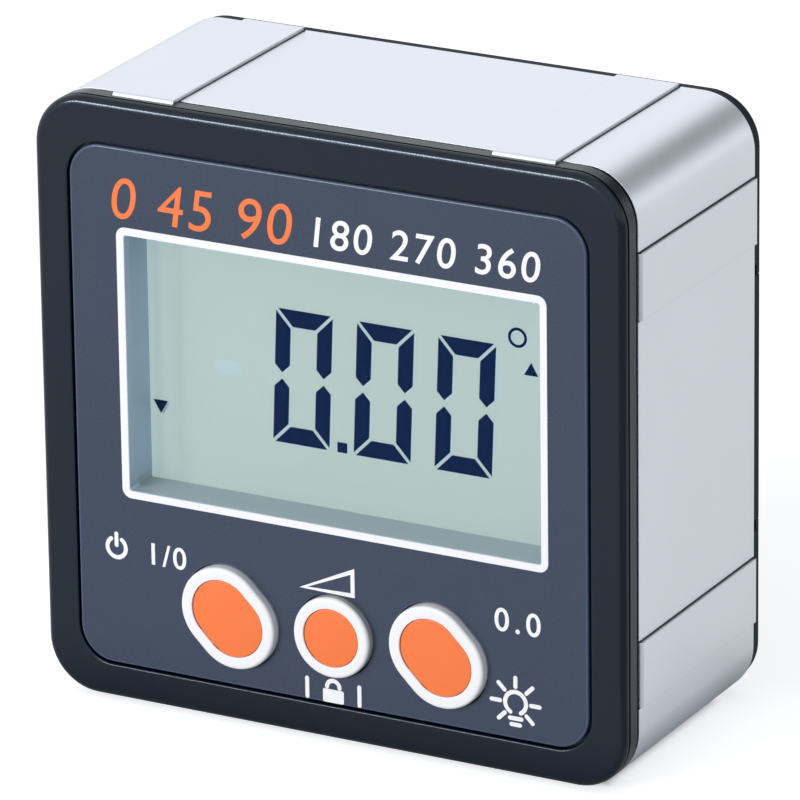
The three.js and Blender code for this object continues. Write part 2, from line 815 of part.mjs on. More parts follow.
function makeSpring(z, direction) {
  const wire = new THREE.Shape();
  wire.absarc(0, 0, springWire / 2, 0, 2 * Math.PI);
  return solid(new THREE.ExtrudeGeometry(wire, {
    steps: springTurns * springStepsPerTurn,
    curveSegments: springSides / 2,
    bevelEnabled: false,
    extrudePath: springPath(z, direction),
  }));
}

// The least free gap between neighbouring turns of a spring
function springLeastGap() {
  const steps = springTurns * springStepsPerTurn;
  const points = springPath(0, 1).getPoints(steps);
  let least = Infinity;
  for (let i = 0; i <= steps; i += 1) {
    for (let j = i + springStepsPerTurn / 2; j <= steps; j += 1) {
      least = Math.min(least, points[i].distanceTo(points[j]));
    }
  }
  return least - springWire;
}
console.log(`least gap between turns of a contact spring: ${springLeastGap().toFixed(2)} mm`);

// Everything below is placed by the depth from the bezel's face and from the case's middle
const instrument = new THREE.Group();
instrument.position.set(0, (keyProud - caseDepth) / 2, caseHeight / 2 + padProud);

function place(name, shape, material) {
  const mesh = new THREE.Mesh(geometryOf(shape), material.clone());
  mesh.name = name;
  instrument.add(mesh);
}

place('body_frame', makeFrame(), finishes.aluminium);
place('base_magnet_left', magnetDisc(-magnetPitch / 2, 0, 0), finishes.magnet);
place('base_magnet_right', magnetDisc(magnetPitch / 2, 0, 0), finishes.magnet);

place('front_bezel', makeBezel(), finishes.blackPlastic);
place('face_plate', makeFacePlate(), finishes.facePlastic);
place('display_window', makeWindow(), finishes.clearPlastic);
place('lcd_glass', makeGlass(), finishes.displayGlass);
place('lcd_holder', makeHolder(), finishes.slatePlastic);
place('light_guide', makeLightGuide(), finishes.frostedPlastic);
place('backlight_led_left', makeLed(-1), finishes.ledYellow);
place('backlight_led_right', makeLed(1), finishes.ledYellow);
place('contact_strip_upper', makeContactStrip(1), finishes.contactRubber);
place('contact_strip_lower', makeContactStrip(-1), finishes.contactRubber);

place('main_board', makeBoard(), finishes.board);
place('microcontroller', makeChip(chipX, chipZ, chipSide, chipHeight), finishes.chip);
place('tilt_sensor', makeChip(sensorX, sensorZ, sensorSide, sensorHeight), finishes.chip);
place('clock_crystal', makeCrystal(), finishes.steel);

for (const key of keys) {
  place(`${key.name}_key_cap`, makeKeyCap(key), finishes.whitePlastic);
  place(`${key.name}_key_inlay`, makeKeyInlay(key), finishes.orangePlastic);
  place(`${key.name}_switch_body`, makeSwitchBody(key), finishes.chip);
  place(`${key.name}_switch_plunger`, makePlunger(key), finishes.slatePlastic);
}

place('back_cover', makeCover(), finishes.blackPlastic);
place('battery_door', makeDoor(), finishes.blackPlastic);
place('battery_cell_upper', makeCell(cellPitch / 2, 1), finishes.cellJacket);
place('battery_cell_lower', makeCell(-cellPitch / 2, -1), finishes.cellJacket);
place('contact_bridge', makeBridge(), finishes.steel);
place('positive_contact', makeTerminal(cellPitch / 2), finishes.steel);
place('negative_contact', makeTerminal(-cellPitch / 2), finishes.steel);
place('upper_contact_spring', makeSpring(cellPitch / 2, 1), finishes.steel);
place('lower_contact_spring', makeSpring(-cellPitch / 2, -1), finishes.steel);

fourPlaces(bossX, bossZ).forEach(([x, z], index) => {
  place(`case_screw_${index + 1}`, makeScrew(x, z, caseScrewSize), finishes.steel);
});
fourPlaces(boardScrewX, boardScrewZ).forEach(([x, z], index) => {
  place(`board_screw_${index + 1}`, makeScrew(x, z, boardScrewSize), finishes.steel);
});

export default instrument;
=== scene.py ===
"""Looks of a pocket digital inclinometer, built round its packed CAD frame.

Shapes are worked out in millimetres: x runs across and z up from the middle of the case, and depth
counts from the bezel's face towards the back. The file is laid out as an add-on: sizes and colours
are properties, and each operator makes one piece or one group of like pieces.
"""

import json
import math

import bmesh
import bpy
import numpy as np
from bpy.props import FloatProperty, FloatVectorProperty, PointerProperty
from mathutils import Matrix, Vector
from mathutils.geometry import tessellate_polygon


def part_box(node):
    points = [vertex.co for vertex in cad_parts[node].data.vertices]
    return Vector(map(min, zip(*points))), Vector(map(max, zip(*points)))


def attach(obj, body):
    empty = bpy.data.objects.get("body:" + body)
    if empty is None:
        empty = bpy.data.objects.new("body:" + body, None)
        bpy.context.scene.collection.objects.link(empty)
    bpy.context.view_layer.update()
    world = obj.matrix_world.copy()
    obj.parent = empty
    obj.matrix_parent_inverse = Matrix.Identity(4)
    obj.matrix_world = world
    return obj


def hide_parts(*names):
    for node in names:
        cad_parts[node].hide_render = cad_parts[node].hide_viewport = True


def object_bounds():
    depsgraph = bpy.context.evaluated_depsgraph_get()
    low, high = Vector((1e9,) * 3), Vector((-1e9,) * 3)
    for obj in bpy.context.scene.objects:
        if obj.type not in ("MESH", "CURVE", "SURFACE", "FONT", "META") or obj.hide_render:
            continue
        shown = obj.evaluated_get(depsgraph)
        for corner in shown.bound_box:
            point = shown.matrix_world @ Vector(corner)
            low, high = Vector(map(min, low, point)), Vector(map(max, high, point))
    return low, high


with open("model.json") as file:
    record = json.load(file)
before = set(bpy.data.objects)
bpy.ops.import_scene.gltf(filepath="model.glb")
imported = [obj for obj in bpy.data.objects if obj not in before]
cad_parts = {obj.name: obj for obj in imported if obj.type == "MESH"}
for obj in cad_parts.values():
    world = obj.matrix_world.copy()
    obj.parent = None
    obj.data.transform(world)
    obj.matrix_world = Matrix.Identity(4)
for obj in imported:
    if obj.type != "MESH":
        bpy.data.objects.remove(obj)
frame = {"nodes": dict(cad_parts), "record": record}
CAD_BOX = [list(corner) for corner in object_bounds()]

bl_info = {
    "name": "Digital inclinometer",
    "version": (1, 0, 0),
    "blender": (4, 5, 0),
    "location": "View3D > Sidebar > Inclinometer",
    "description": "Builds the looks of a pocket digital inclinometer round its CAD frame",
    "category": "Object",
}

# A millimetre in metres. All lengths below are in millimetres
MM = 0.001

# Points nearer than this are one, and lengths below these count as nought
MERGE = 0.001
TINY = 1e-4
NOUGHT = 1e-9

# How far short and long cuts run past a face, and how far joined shapes overlap
OVERRUN = 0.5
FAR = 1.0
OVERLAP = 0.02

# Gaps beside a piece in its pocket and behind one on its seat, and the size of a broken edge
FIT = 0.1
SEAT = 0.05
BREAK = 0.12

# Points per quarter of a corner, per turn and per rounded edge
CORNER_STEPS = 14
ROUND_STEPS = 64
EDGE_STEPS = 5

# Edges turn sharply above this angle, and an inset spreads corners by no less than this
SHARP_ANGLE = math.radians(31)
LEAST_SPREAD = 0.2

# A face is on a rim below this width, above this turn and below this share of the area that faces
# its way. It is in a crease below this width, beside a face this wide that stands up this steeply
RIM_WIDTH = 0.25
RIM_TURN = 0.1
RIM_SHARE = 0.02
CREASE_WIDTH = 0.36
CREASE_BESIDE = 0.08
CREASE_ANGLE = math.radians(60)

# The cover's back wall, the room for its screw bosses forward of the door's seat, and the
# thickness of the door's tongues
COVER_RIM = 1.4
COVER_BOSS = 6.45
DOOR_TONGUE = 0.6

# Points round a screw or a post, and the colours of nothing and of full light
SCREW_STEPS = 40
BLACK = (0.0, 0.0, 0.0)
WHITE = (1.0, 1.0, 1.0)

# The keys, from left to right
KEYS = ("power", "hold", "zero")

bezel_low, bezel_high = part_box("front_bezel")
FACE_Y = bezel_low.y
MIDDLE_Z = (bezel_low.z + bezel_high.z) / 2
CASE_WIDTH = (bezel_high.x - bezel_low.x) / MM
CASE_HEIGHT = (bezel_high.z - bezel_low.z) / MM


# Where things are


def extent(node):
    """A CAD node's limits in millimetres: across, in depth and in height, as three pairs."""
    low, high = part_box(node)
    return np.array([
        [low.x, high.x],
        [low.y - FACE_Y, high.y - FACE_Y],
        [low.z - MIDDLE_Z, high.z - MIDDLE_Z],
    ]) / MM


def middle(node):
    """The middle of a CAD node's box in millimetres: across, in depth and in height."""
    return extent(node).mean(axis=1)


# Outlines: closed rows of (x, z) points that run anticlockwise as seen from the front


def rounded(width, height, radius, x=0.0, z=0.0, steps=CORNER_STEPS):
    """A rounded rectangle: each corner's centre plus the radius times (cos, sin) of its angles."""
    turn = np.linspace(0, np.pi / 2, steps + 1) + np.arange(4)[:, None] * np.pi / 2
    across = np.array([1, -1, -1, 1])[:, None] * (width / 2 - radius)
    up = np.array([1, 1, -1, -1])[:, None] * (height / 2 - radius)
    points = np.stack([x + across + radius * np.cos(turn), z + up + radius * np.sin(turn)], -1)
    return points.reshape(-1, 2)


def circle(radius, x=0.0, z=0.0, steps=ROUND_STEPS):
    """A circle: the centre plus the radius times (cos, sin) of equal steps."""
    turn = np.arange(steps) * 2 * np.pi / steps
    return np.stack([x + radius * np.cos(turn), z + radius * np.sin(turn)], -1)


def long_round(x, z, radius, half_straight, turn, steps=28):
    """Two half circles joined by straights, as long keys are, turned by an angle."""
    angles = np.linspace(-np.pi / 2, np.pi / 2, steps + 1) + np.array([[0], [np.pi]]) + turn
    reach = half_straight * np.array([[1], [-1]])
    points = np.stack([
        x + reach * math.cos(turn) + radius * np.cos(angles),
        z + reach * math.sin(turn) + radius * np.sin(angles),
    ], -1)
    return points.reshape(-1, 2)


def inset(outline, amount):
    """The outline moved inwards: each point goes against the sum of its two edge normals, divided
    by one plus their dot product, so that every edge moves by the same amount."""
    outline = np.asarray(outline, float)
    along = np.roll(outline, -1, 0) - outline
    length = np.linalg.norm(along, axis=1, keepdims=True)
    normal = np.stack([along[:, 1], -along[:, 0]], -1) / np.where(length > NOUGHT, length, 1)
    before = np.roll(normal, 1, 0)
    spread = 1 + (normal * before).sum(1, keepdims=True)
    return outline - amount * (normal + before) / np.maximum(spread, LEAST_SPREAD)


def level(outline, depth):
    """An outline as points in space at one depth."""
    outline = np.asarray(outline, float)
    return np.stack([outline[:, 0], np.full(len(outline), float(depth)), outline[:, 1]], -1)


def quarter(radius):
    """(inset, depth) pairs of a quarter circle, from a flat face to the wall beside it: the radius
    times (1 - sin, 1 - cos) of its angles."""
    if not radius:
        return [(0.0, 0.0)]
    return [(radius * (1 - math.sin(turn)), radius * (1 - math.cos(turn)))
            for turn in np.linspace(0, np.pi / 2, EDGE_STEPS + 1)]


def edge_profile(front, back, front_edge=0.0, back_edge=0.0, side=1):
    """(inset, depth) pairs down a wall whose ends are quarter circles; side is -1 in a hole."""
    head = [(side * inward, front + deep) for inward, deep in quarter(front_edge)]
    tail = [(side * inward, back - deep) for inward, deep in quarter(back_edge)[::-1]]
    return head + tail


# Shells: closed surfaces put together from grids and flat faces


class Shell:
    """Patches of one closed surface, whose points are (x, depth, z) in millimetres."""

    def __init__(self):
        self.points = []
        self.faces = []
        self.used = 0

    def add(self, points, faces):
        """Adds a patch given by its points and by faces that count from its first point."""
        points = np.asarray(points, float).reshape(-1, 3)
        self.points.append(points)
        self.faces.extend((np.asarray(face) + self.used).tolist() for face in faces)
        self.used += len(points)
        return self

    def rows(self, rows, closed=True):
        """A grid: each point is joined to its neighbour in the row and in the next row."""
        rows = np.asarray(rows, float)
        count, length = rows.shape[:2]
        start = np.arange(count - 1)[:, None] * length
        here = np.arange(length if closed else length - 1)[None, :]
        there = (here + 1) % length
        quads = np.stack([start + here, start + there,
                          start + length + there, start + length + here], -1)
        return self.add(rows, quads.reshape(-1, 4))

    def carried(self, outline, profile):
        """A profile of (inset, depth) pairs carried round an outline."""
        return self.rows([level(inset(outline, amount), depth) for amount, depth in profile])

    def flat(self, depth, outer, *holes):
        """Fills the area inside the first outline and outside the others, at one depth."""
        loops = [outer, *holes]
        triangles = tessellate_polygon([[Vector((x, z, 0)) for x, z in loop] for loop in loops])
        return self.add(level(np.concatenate(loops), depth), triangles)

    def turned(self, profile, centre, axis, steps=ROUND_STEPS):
        """A profile of (radius, place along the axis) pairs turned round an axis: 0 runs across,
        1 in depth and 2 upwards. A radius of zero closes the surface at a pole."""
        profile = np.asarray(profile, float)
        turn = np.arange(steps) * 2 * np.pi / steps
        rows = np.zeros((len(profile), steps, 3)) + np.asarray(centre, float)
        first, second = [(1, 2), (2, 0), (0, 1)][axis]
        rows[..., first] += profile[:, :1] * np.cos(turn)
        rows[..., second] += profile[:, :1] * np.sin(turn)
        rows[..., axis] += profile[:, 1:]
        return self.rows(rows)

    def mesh(self):
        """One Blender mesh in millimetres, its doubles merged and its faces turned outwards."""
        mesh = bpy.data.meshes.new("shell")
        mesh.from_pydata(np.concatenate(self.points).tolist(), [], self.faces)
        return tidied(mesh)


def tidied(mesh):
    """The mesh with its doubles merged, its empty faces gone and its normals outwards."""
    work = bmesh.new()
    work.from_mesh(mesh)
    bmesh.ops.remove_doubles(work, verts=work.verts, dist=MERGE)
    bmesh.ops.dissolve_degenerate(work, edges=work.edges, dist=MERGE / 10)
    bmesh.ops.recalc_face_normals(work, faces=work.faces)
    work.to_mesh(mesh)
    work.free()
    return mesh


def prism(outline, front, back, front_edge=0.0, back_edge=0.0, holes=(), hole_edge=0.0):
    """An outline carried in depth with rounded ends, and holes that run through it."""
    shell = Shell().carried(outline, edge_profile(front, back, front_edge, back_edge))
    for hole in holes:
        shell.carried(hole, edge_profile(front, back, hole_edge, hole_edge, side=-1))
    for depth, edge in ((front, front_edge), (back, back_edge)):
        shell.flat(depth, inset(outline, edge), *[inset(hole, -hole_edge) for hole in holes])
    return shell


def block(limits, edge=0.0):
    """A box given by three pairs of limits, with every edge rounded."""
    (x0, x1), (front, back), (z0, z1) = limits
    outline = rounded(x1 - x0, z1 - z0, max(edge, TINY), (x0 + x1) / 2, (z0 + z1) / 2,
                      steps=EDGE_STEPS if edge else 1)
    return prism(outline, front, back, edge, edge)


def tube(path, radius, sides=16):
    """A round wire along a path: circles square to the path, closed to a point at both ends."""
    path = np.asarray(path, float)
    along = np.gradient(path, axis=0)
    along /= np.linalg.norm(along, axis=1, keepdims=True)
    side = np.cross(along, [1.0, 0.0, 0.0])
    side /= np.linalg.norm(side, axis=1, keepdims=True)
    up = np.cross(side, along)
    turn = np.arange(sides) * 2 * np.pi / sides
    ring = side[:, None] * np.cos(turn)[:, None] + up[:, None] * np.sin(turn)[:, None]
    rows = path[:, None] + ring * radius
    first = np.broadcast_to(path[0], (1, sides, 3))
    last = np.broadcast_to(path[-1], (1, sides, 3))
    return Shell().rows(np.concatenate([first, rows, last]))


def combined(mesh, *steps):
    """The mesh with others added to it or cut from it: steps are (operation, shell) pairs."""
    for operation, shell in steps:
        base = bpy.data.objects.new("base", mesh)
        tool = bpy.data.objects.new("tool", shell.mesh())
        for thing in (base, tool):
            bpy.context.collection.objects.link(thing)
        cut = base.modifiers.new("cut", "BOOLEAN")
        cut.operation = operation
        cut.solver = "EXACT"
        cut.object = tool
        graph = bpy.context.evaluated_depsgraph_get()
        mesh = bpy.data.meshes.new_from_object(base.evaluated_get(graph))
        for thing in (base, tool):
            bpy.data.objects.remove(thing)
    return tidied(mesh)


def several(shells):
    """Separate shells as one."""
    whole = Shell()
    for shell in shells:
        whole.add(np.concatenate(shell.points), shell.faces)
    return whole


def mark_edges(mesh):
    """Marks edges sharp where their two faces meet at more than the sharp angle. Gives each face
    an attribute, rim: one on the narrow faces of a rounded edge, minus one on narrow faces in a
    crease, whose neighbour stands up from them, and nought elsewhere."""
    faces = len(mesh.polygons)
    normals, centres = np.zeros(faces * 3, np.float32), np.zeros(faces * 3, np.float32)
    mesh.polygons.foreach_get("normal", normals)
    mesh.polygons.foreach_get("center", centres)
    normals, centres = normals.reshape(-1, 3), centres.reshape(-1, 3)
    loop_edges = np.zeros(len(mesh.loops), np.int32)
    mesh.loops.foreach_get("edge_index", loop_edges)
    corners = np.zeros(faces, np.int32)
    mesh.polygons.foreach_get("loop_total", corners)
    area = np.zeros(faces, np.float32)
    mesh.polygons.foreach_get("area", area)
    owner = np.repeat(np.arange(faces), corners)
    order = np.argsort(loop_edges, kind="stable")
    edges, first, uses = np.unique(loop_edges[order], return_index=True, return_counts=True)
    edges, first = edges[uses == 2], first[uses == 2]
    one, two = owner[order][first], owner[order][first + 1]
    turn = np.arccos(np.clip((normals[one] * normals[two]).sum(1), -1, 1))
    hollow = ((centres[two] - centres[one]) * normals[one]).sum(1) > 0
    angle = np.zeros(len(mesh.edges))
    angle[edges] = turn
    ends = np.zeros(len(mesh.edges) * 2, np.int32)
    mesh.edges.foreach_get("vertices", ends)
    points = np.zeros(len(mesh.vertices) * 3, np.float32)
    mesh.vertices.foreach_get("co", points)
    points = points.reshape(-1, 3)
    length = np.linalg.norm(points[ends[::2]] - points[ends[1::2]], axis=1)
    longest, turning, creased = np.zeros(faces), np.zeros(faces), np.zeros(faces)
    np.maximum.at(longest, owner, length[loop_edges])
    np.maximum.at(turning, owner, angle[loop_edges])
    width = area / np.maximum(longest, NOUGHT) / MM
    for face, other in ((one, two), (two, one)):
        steep = hollow & (width[other] > CREASE_BESIDE)
        np.maximum.at(creased, face, np.where(steep, turn, 0))
    _, group = np.unique(normals.round(3), axis=0, return_inverse=True)
    alike = np.bincount(group.ravel(), area)[group.ravel()] / area.sum()
    crease = (width < CREASE_WIDTH) & (creased > CREASE_ANGLE)
    rim = (width < RIM_WIDTH) & (turning > RIM_TURN) & (alike < RIM_SHARE) & ~crease
    marks = rim.astype(np.float32) - crease.astype(np.float32)
    mesh.attributes.new("rim", "FLOAT", "FACE").data.foreach_set("value", marks)
    mesh.polygons.foreach_set("use_smooth", np.ones(faces, bool))
    sharp = mesh.attributes.new("sharp_edge", "BOOLEAN", "EDGE")
    sharp.data.foreach_set("value", angle > SHARP_ANGLE)


def piece(name, shape, material, body, slot, *nodes):
    """A finished piece: its mesh in metres in the frame's place, its material, the body that it
    rides on, a slot, which is not used, and the CAD nodes that it stands for."""
    mesh = shape.mesh() if isinstance(shape, Shell) else shape
    place = Matrix.Translation((0, FACE_Y, MIDDLE_Z)) @ Matrix.Scale(MM, 4)
    mesh.transform(place)
    mesh.name = name
    mark_edges(mesh)
    thing = bpy.data.objects.new(name, mesh)
    bpy.context.collection.objects.link(thing)
    even = thing.modifiers.new("even shading", "WEIGHTED_NORMAL")
    even.keep_sharp = True
    mesh.materials.append(material)
    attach(thing, body)
    if nodes:
        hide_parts(*nodes)
    return thing


def dress(material, *nodes):
    """Gives CAD nodes whose shape is right their finish."""
    for node in nodes:
        thing = frame["nodes"][node]
        for slot in thing.material_slots:
            slot.material = material


# Materials


def shade(red, green, blue):
    """A colour written as screen values from 0 to 255, as light values."""
    values = np.array([red, green, blue]) / 255
    low = values / 12.92
    high = ((values + 0.055) / 1.055) ** 2.4
    return tuple(np.where(values <= 0.04045, low, high).tolist())


class Value:
    """A number in a node tree. Arithmetic on it adds Math nodes."""

    def __init__(self, shader, socket):
        self.shader = shader
        self.socket = socket

    def maths(self, operation, first, second=0.0):
        sockets = {0: first, 1: second}
        node = self.shader.node("ShaderNodeMath", {"operation": operation}, sockets)
        return Value(self.shader, node.outputs[0])

    def __add__(self, other):
        return self.maths("ADD", self, other)

    def __radd__(self, other):
        return self.maths("ADD", other, self)

    def __sub__(self, other):
        return self.maths("SUBTRACT", self, other)

    def __rsub__(self, other):
        return self.maths("SUBTRACT", other, self)

    def __mul__(self, other):
        return self.maths("MULTIPLY", self, other)

    def __gt__(self, other):
        return self.maths("GREATER_THAN", self, other)

    def __lt__(self, other):
        return self.maths("LESS_THAN", self, other)

    def __abs__(self):
        return self.maths("ABSOLUTE", self)

    def greatest(self, other):
        return self.maths("MAXIMUM", self, other)

    def sine(self):
        return self.maths("SINE", self)

    def smooth(self, low, high):
        """Nought below low, one above high and a soft step between them."""
        sockets = {0: self, 1: low, 2: high, 3: 0.0, 4: 1.0}
        node = self.shader.node("ShaderNodeMapRange", {"interpolation_type": "SMOOTHSTEP"}, sockets)
        return Value(self.shader, node.outputs[0])


class Nodes:
    """A node tree under construction, with the few kinds of node that the finishes use."""

    def __init__(self, tree):
        self.tree = tree

    def node(self, kind, settings=None, sockets=None):
        """Any node: its settings go first, then the values or links of its sockets."""
        node = self.tree.nodes.new(kind)
        for key, value in (settings or {}).items():
            setattr(node, key, value)
        for key, value in (sockets or {}).items():
            self.feed(node.inputs[key], value)
        return node

    def feed(self, socket, value):
        """Links a socket to a value or another socket, or sets it to a constant."""
        if isinstance(value, Value):
            value = value.socket
        if isinstance(value, bpy.types.NodeSocket):
            self.tree.links.new(value, socket)
        elif hasattr(value, "__len__") and len(socket.default_value) == 4:
            socket.default_value = (*value[:3], 1.0)
        else:
            socket.default_value = value

    def noise(self, size, detail=2.0, stretch=(1.0, 1.0, 1.0), roughness=0.5):
        """Noise whose patches are about size millimetres across, from nought to one."""
        place = self.node("ShaderNodeMapping", None, {"Vector": self.place, "Scale": stretch})
        sockets = {"Vector": place.outputs[0], "Scale": 1 / (size * MM), "Detail": detail,
                   "Roughness": roughness}
        node = self.node("ShaderNodeTexNoise", None, sockets)
        return Value(self, node.outputs[0])

    def axis(self, index):
        """The place along one axis of the object, in millimetres."""
        node = self.node("ShaderNodeSeparateXYZ", None, {0: self.place})
        return Value(self, node.outputs[index]) * (1 / MM)

    def edges(self):
        """Two numbers: one on rounded edges, and one in creases."""
        node = self.node("ShaderNodeAttribute", {"attribute_name": "rim"})
        rim = Value(self, node.outputs["Fac"])
        return rim.greatest(0.0), (rim * -1.0).greatest(0.0)

    def mix(self, factor, first, second):
        """A colour between two colours."""
        node = self.node("ShaderNodeMix", {"data_type": "RGBA"}, {0: factor, 6: first, 7: second})
        return node.outputs[2]

    def bump(self, height, distance):
        """A surface raised by height, from nought to one, times distance in millimetres."""
        sockets = {"Height": height, "Distance": distance * MM, "Strength": 1.0}
        return self.node("ShaderNodeBump", None, sockets).outputs[0]

    def seen(self, *kinds):
        """One for rays of these kinds, nought for the others."""
        rays = self.node("ShaderNodeLightPath")
        found = Value(self, rays.outputs[f"Is {kinds[0]} Ray"])
        for kind in kinds[1:]:
            found = found.greatest(Value(self, rays.outputs[f"Is {kind} Ray"]))
        return found


class Shader(Nodes):
    """A material under construction on the usual surface shader."""

    def __init__(self, name, **constants):
        self.material = bpy.data.materials.new(name)
        self.material.use_nodes = True
        super().__init__(self.material.node_tree)
        self.surface = self.tree.nodes["Principled BSDF"]
        for key, value in constants.items():
            self.surface.inputs[key.replace("_", " ")].default_value = value
        self.place = self.node("ShaderNodeTexCoord").outputs["Object"]

    def show(self, surface):
        """Puts another shader on the surface, and gives the finished material."""
        self.tree.links.new(surface, self.tree.nodes["Material Output"].inputs["Surface"])
        return self.material

    def set(self, **inputs):
        """Feeds the surface's own sockets, and gives the finished material."""
        for key, value in inputs.items():
            self.feed(self.surface.inputs[key.replace("_", " ")], value)
        return self.material


def tinted(colour, factor):
    """A colour made lighter or darker."""
    return tuple(min(1.0, channel * factor) for channel in colour)


def moulded(name, colour, roughness, grain=0.12, depth=0.004, spread=0.12, edge_wear_and_sheen=1.25, foot=None,
            **constants):
    """A moulded or cast finish: uneven in colour and gloss, with a fine grain and worn edges, which
    a large edge factor lightens further as a painted highlight, and with painted shade in its
    creases. Foot is a height and the colour below it, used as painted shade on a lower wall."""
    cloud, blur, crease_shade, crease_shade_share, wear_share = 9.0, 0.2, 0.3, 0.7, 0.7
    shader = Shader(name, **constants)
    fine = shader.noise(grain, 3.0)
    broad = shader.noise(cloud, 2.0)
    body = shader.mix(broad * 0.6 + fine * 0.4, tinted(colour, 1 - spread),
                      tinted(colour, 1 + spread))
    # Painted shade: below the foot's height the colour changes to a darker one
    if foot:
        height, lower = foot
        raised = shader.axis(2).smooth(height - blur, height + blur)
        body = shader.mix(raised, lower, body)
    rim, crease = shader.edges()
    # Edges are lightened by the edge factor: wear, and where the factor is large, a painted
    # highlight
    worn = shader.mix(rim * (wear_share + fine * (1 - wear_share)), body, tinted(colour, edge_wear_and_sheen))
    return shader.set(
        # Painted shade: faces in a crease are darkened
        Base_Color=shader.mix(crease * crease_shade_share, worn, tinted(colour, crease_shade)),
        Roughness=roughness + (broad - 0.5) * 0.08 + (fine - 0.5) * 0.1,
        Normal=shader.bump(fine, depth),
    )


def satin_metal(name, colour, roughness, grain=0.09, depth=0.0025):
    """Blasted and anodised metal: a fine even grain, slightly cloudy, rougher on its edges, whose
    colour is darkened there as painted shade to tone down their highlight, and with painted shade
    in its creases."""
    cloud, edge_shade, edge_shade_share, crease_shade, crease_shade_share = 14.0, 0.75, 0.5, 0.04, 0.95
    shader = Shader(name, Metallic=1.0)
    fine = shader.noise(grain, 4.0, roughness=0.7)
    broad = shader.noise(cloud, 2.0)
    body = shader.mix(broad * 0.5 + fine * 0.5, tinted(colour, 0.93), tinted(colour, 1.05))
    rim, crease = shader.edges()
    # Painted shade: the colour of rounded edges is darkened, to tone down their highlight
    dull = shader.mix(rim * edge_shade_share, body, tinted(colour, edge_shade))
    return shader.set(
        # Painted shade: faces in a crease are darkened almost to black
        Base_Color=shader.mix(crease * crease_shade_share, dull, tinted(colour, crease_shade)),
        Roughness=roughness + (fine - 0.5) * 0.16 + (broad - 0.5) * 0.05 + rim * 0.25,
        Normal=shader.bump(fine, depth),
    )


def plated(name, colour, roughness=0.22):
    """Nickel plate: bright, with faint rolling marks and a little clouding."""
    shader = Shader(name, Metallic=1.0)
    mark, mark_stretch, cloud = 0.15, 9.0, 3.0
    marks = shader.noise(mark, 3.0, stretch=(1.0, 1.0, mark_stretch))
    broad = shader.noise(cloud, 2.0)
    return shader.set(
        Base_Color=shader.mix(broad, tinted(colour, 0.88), tinted(colour, 1.08)),
        Roughness=roughness + (marks - 0.5) * 0.18 + (broad - 0.5) * 0.1,
        Normal=shader.bump(marks, 0.0012),
    )


def clear_window():
    """Clear polished plastic: what lies behind shows through, under a thin reflection."""
    cloud, gloss_share = 12.0, 0.12
    shader = Shader("clear window")
    clear = shader.node("ShaderNodeBsdfTransparent", None, {"Color": (0.99, 0.995, 0.995)})
    haze = shader.noise(cloud, 2.0)
    gloss = shader.node("ShaderNodeBsdfGlossy", None, {"Roughness": 0.05})
    shader.feed(gloss.inputs["Normal"], shader.bump(haze, 0.002))
    fresnel = shader.node("ShaderNodeFresnel", None, {"IOR": 1.45})
    share = Value(shader, fresnel.outputs[0]) * gloss_share
    both = shader.node("ShaderNodeMixShader", None,
                       {0: share, 1: clear.outputs[0], 2: gloss.outputs[0]})
    return shader.show(both.outputs[0])


def cell_jacket(node):
    """A printed can between two bare steel ends, with a pale band near its raised end."""
    can_start, can_end, band_start, band_end, blur = 0.55, 43.0, 33.4, 42.0, 0.1
    smudge, smudge_share = (0.02, 0.03, 0.04), 0.2
    shader = Shader("cell jacket " + node.rsplit("_", 1)[-1])
    (x0, x1), _, _ = extent(node)
    forward = node.endswith("upper")
    along = shader.axis(0) - x0 if forward else x1 - shader.axis(0)
    jacket = along.smooth(can_start, can_start + blur) * (1 - along.smooth(can_end, can_end + blur))
    band = (along.smooth(band_start, band_start + blur) *
            (1 - along.smooth(band_end, band_end + blur)))
    fine = shader.noise(0.3, 3.0, stretch=(1.0, 0.15, 0.15))
    printed = shader.mix(band, chosen("cell_jacket"), chosen("cell_band"))
    printed = shader.mix(fine * smudge_share, printed, smudge)
    return shader.set(
        Base_Color=shader.mix(jacket, chosen("steel"), printed),
        Metallic=1 - jacket * 0.55,
        Roughness=0.26 + fine * 0.12,
        Normal=shader.bump(fine, 0.0015),
    )


def circuit_board(colour):
    """Green solder mask with the darker gaps between copper tracks under it."""
    pitch, stretch, half_width, band = 1.4, 0.15, 0.03, 0.21
    shader = Shader("circuit board")
    fine = shader.noise(0.2, 3.0)
    rows = shader.noise(pitch, 0.0, stretch=(stretch, 1.0, 1.0))
    lanes = shader.noise(pitch, 0.0, stretch=(1.0, 1.0, stretch))
    upright = (shader.axis(2) * band).sine() > 0.0
    tracks = (abs(rows - 0.5) < half_width).greatest((abs(lanes - 0.5) < half_width) * upright)
    return shader.set(
        Base_Color=shader.mix(tracks, shader.mix(fine, tinted(colour, 0.85), colour),
                              tinted(colour, 1.7)),
        Roughness=0.32 + fine * 0.12,
        Normal=shader.bump(tracks, 0.02),
    )


def ribbed_rubber(colour):
    """Black rubber with the fine stripes of its conducting layers."""
    stripe = 0.3
    shader = Shader("contact rubber")
    stripes = (shader.axis(0) * (2 * math.pi / stripe)).sine()
    fine = shader.noise(0.1, 2.0)
    return shader.set(
        Base_Color=shader.mix(stripes * 0.5 + 0.5, tinted(colour, 0.5), tinted(colour, 1.8)),
        Roughness=0.7 + fine * 0.2,
        Normal=shader.bump(stripes, 0.01),
    )


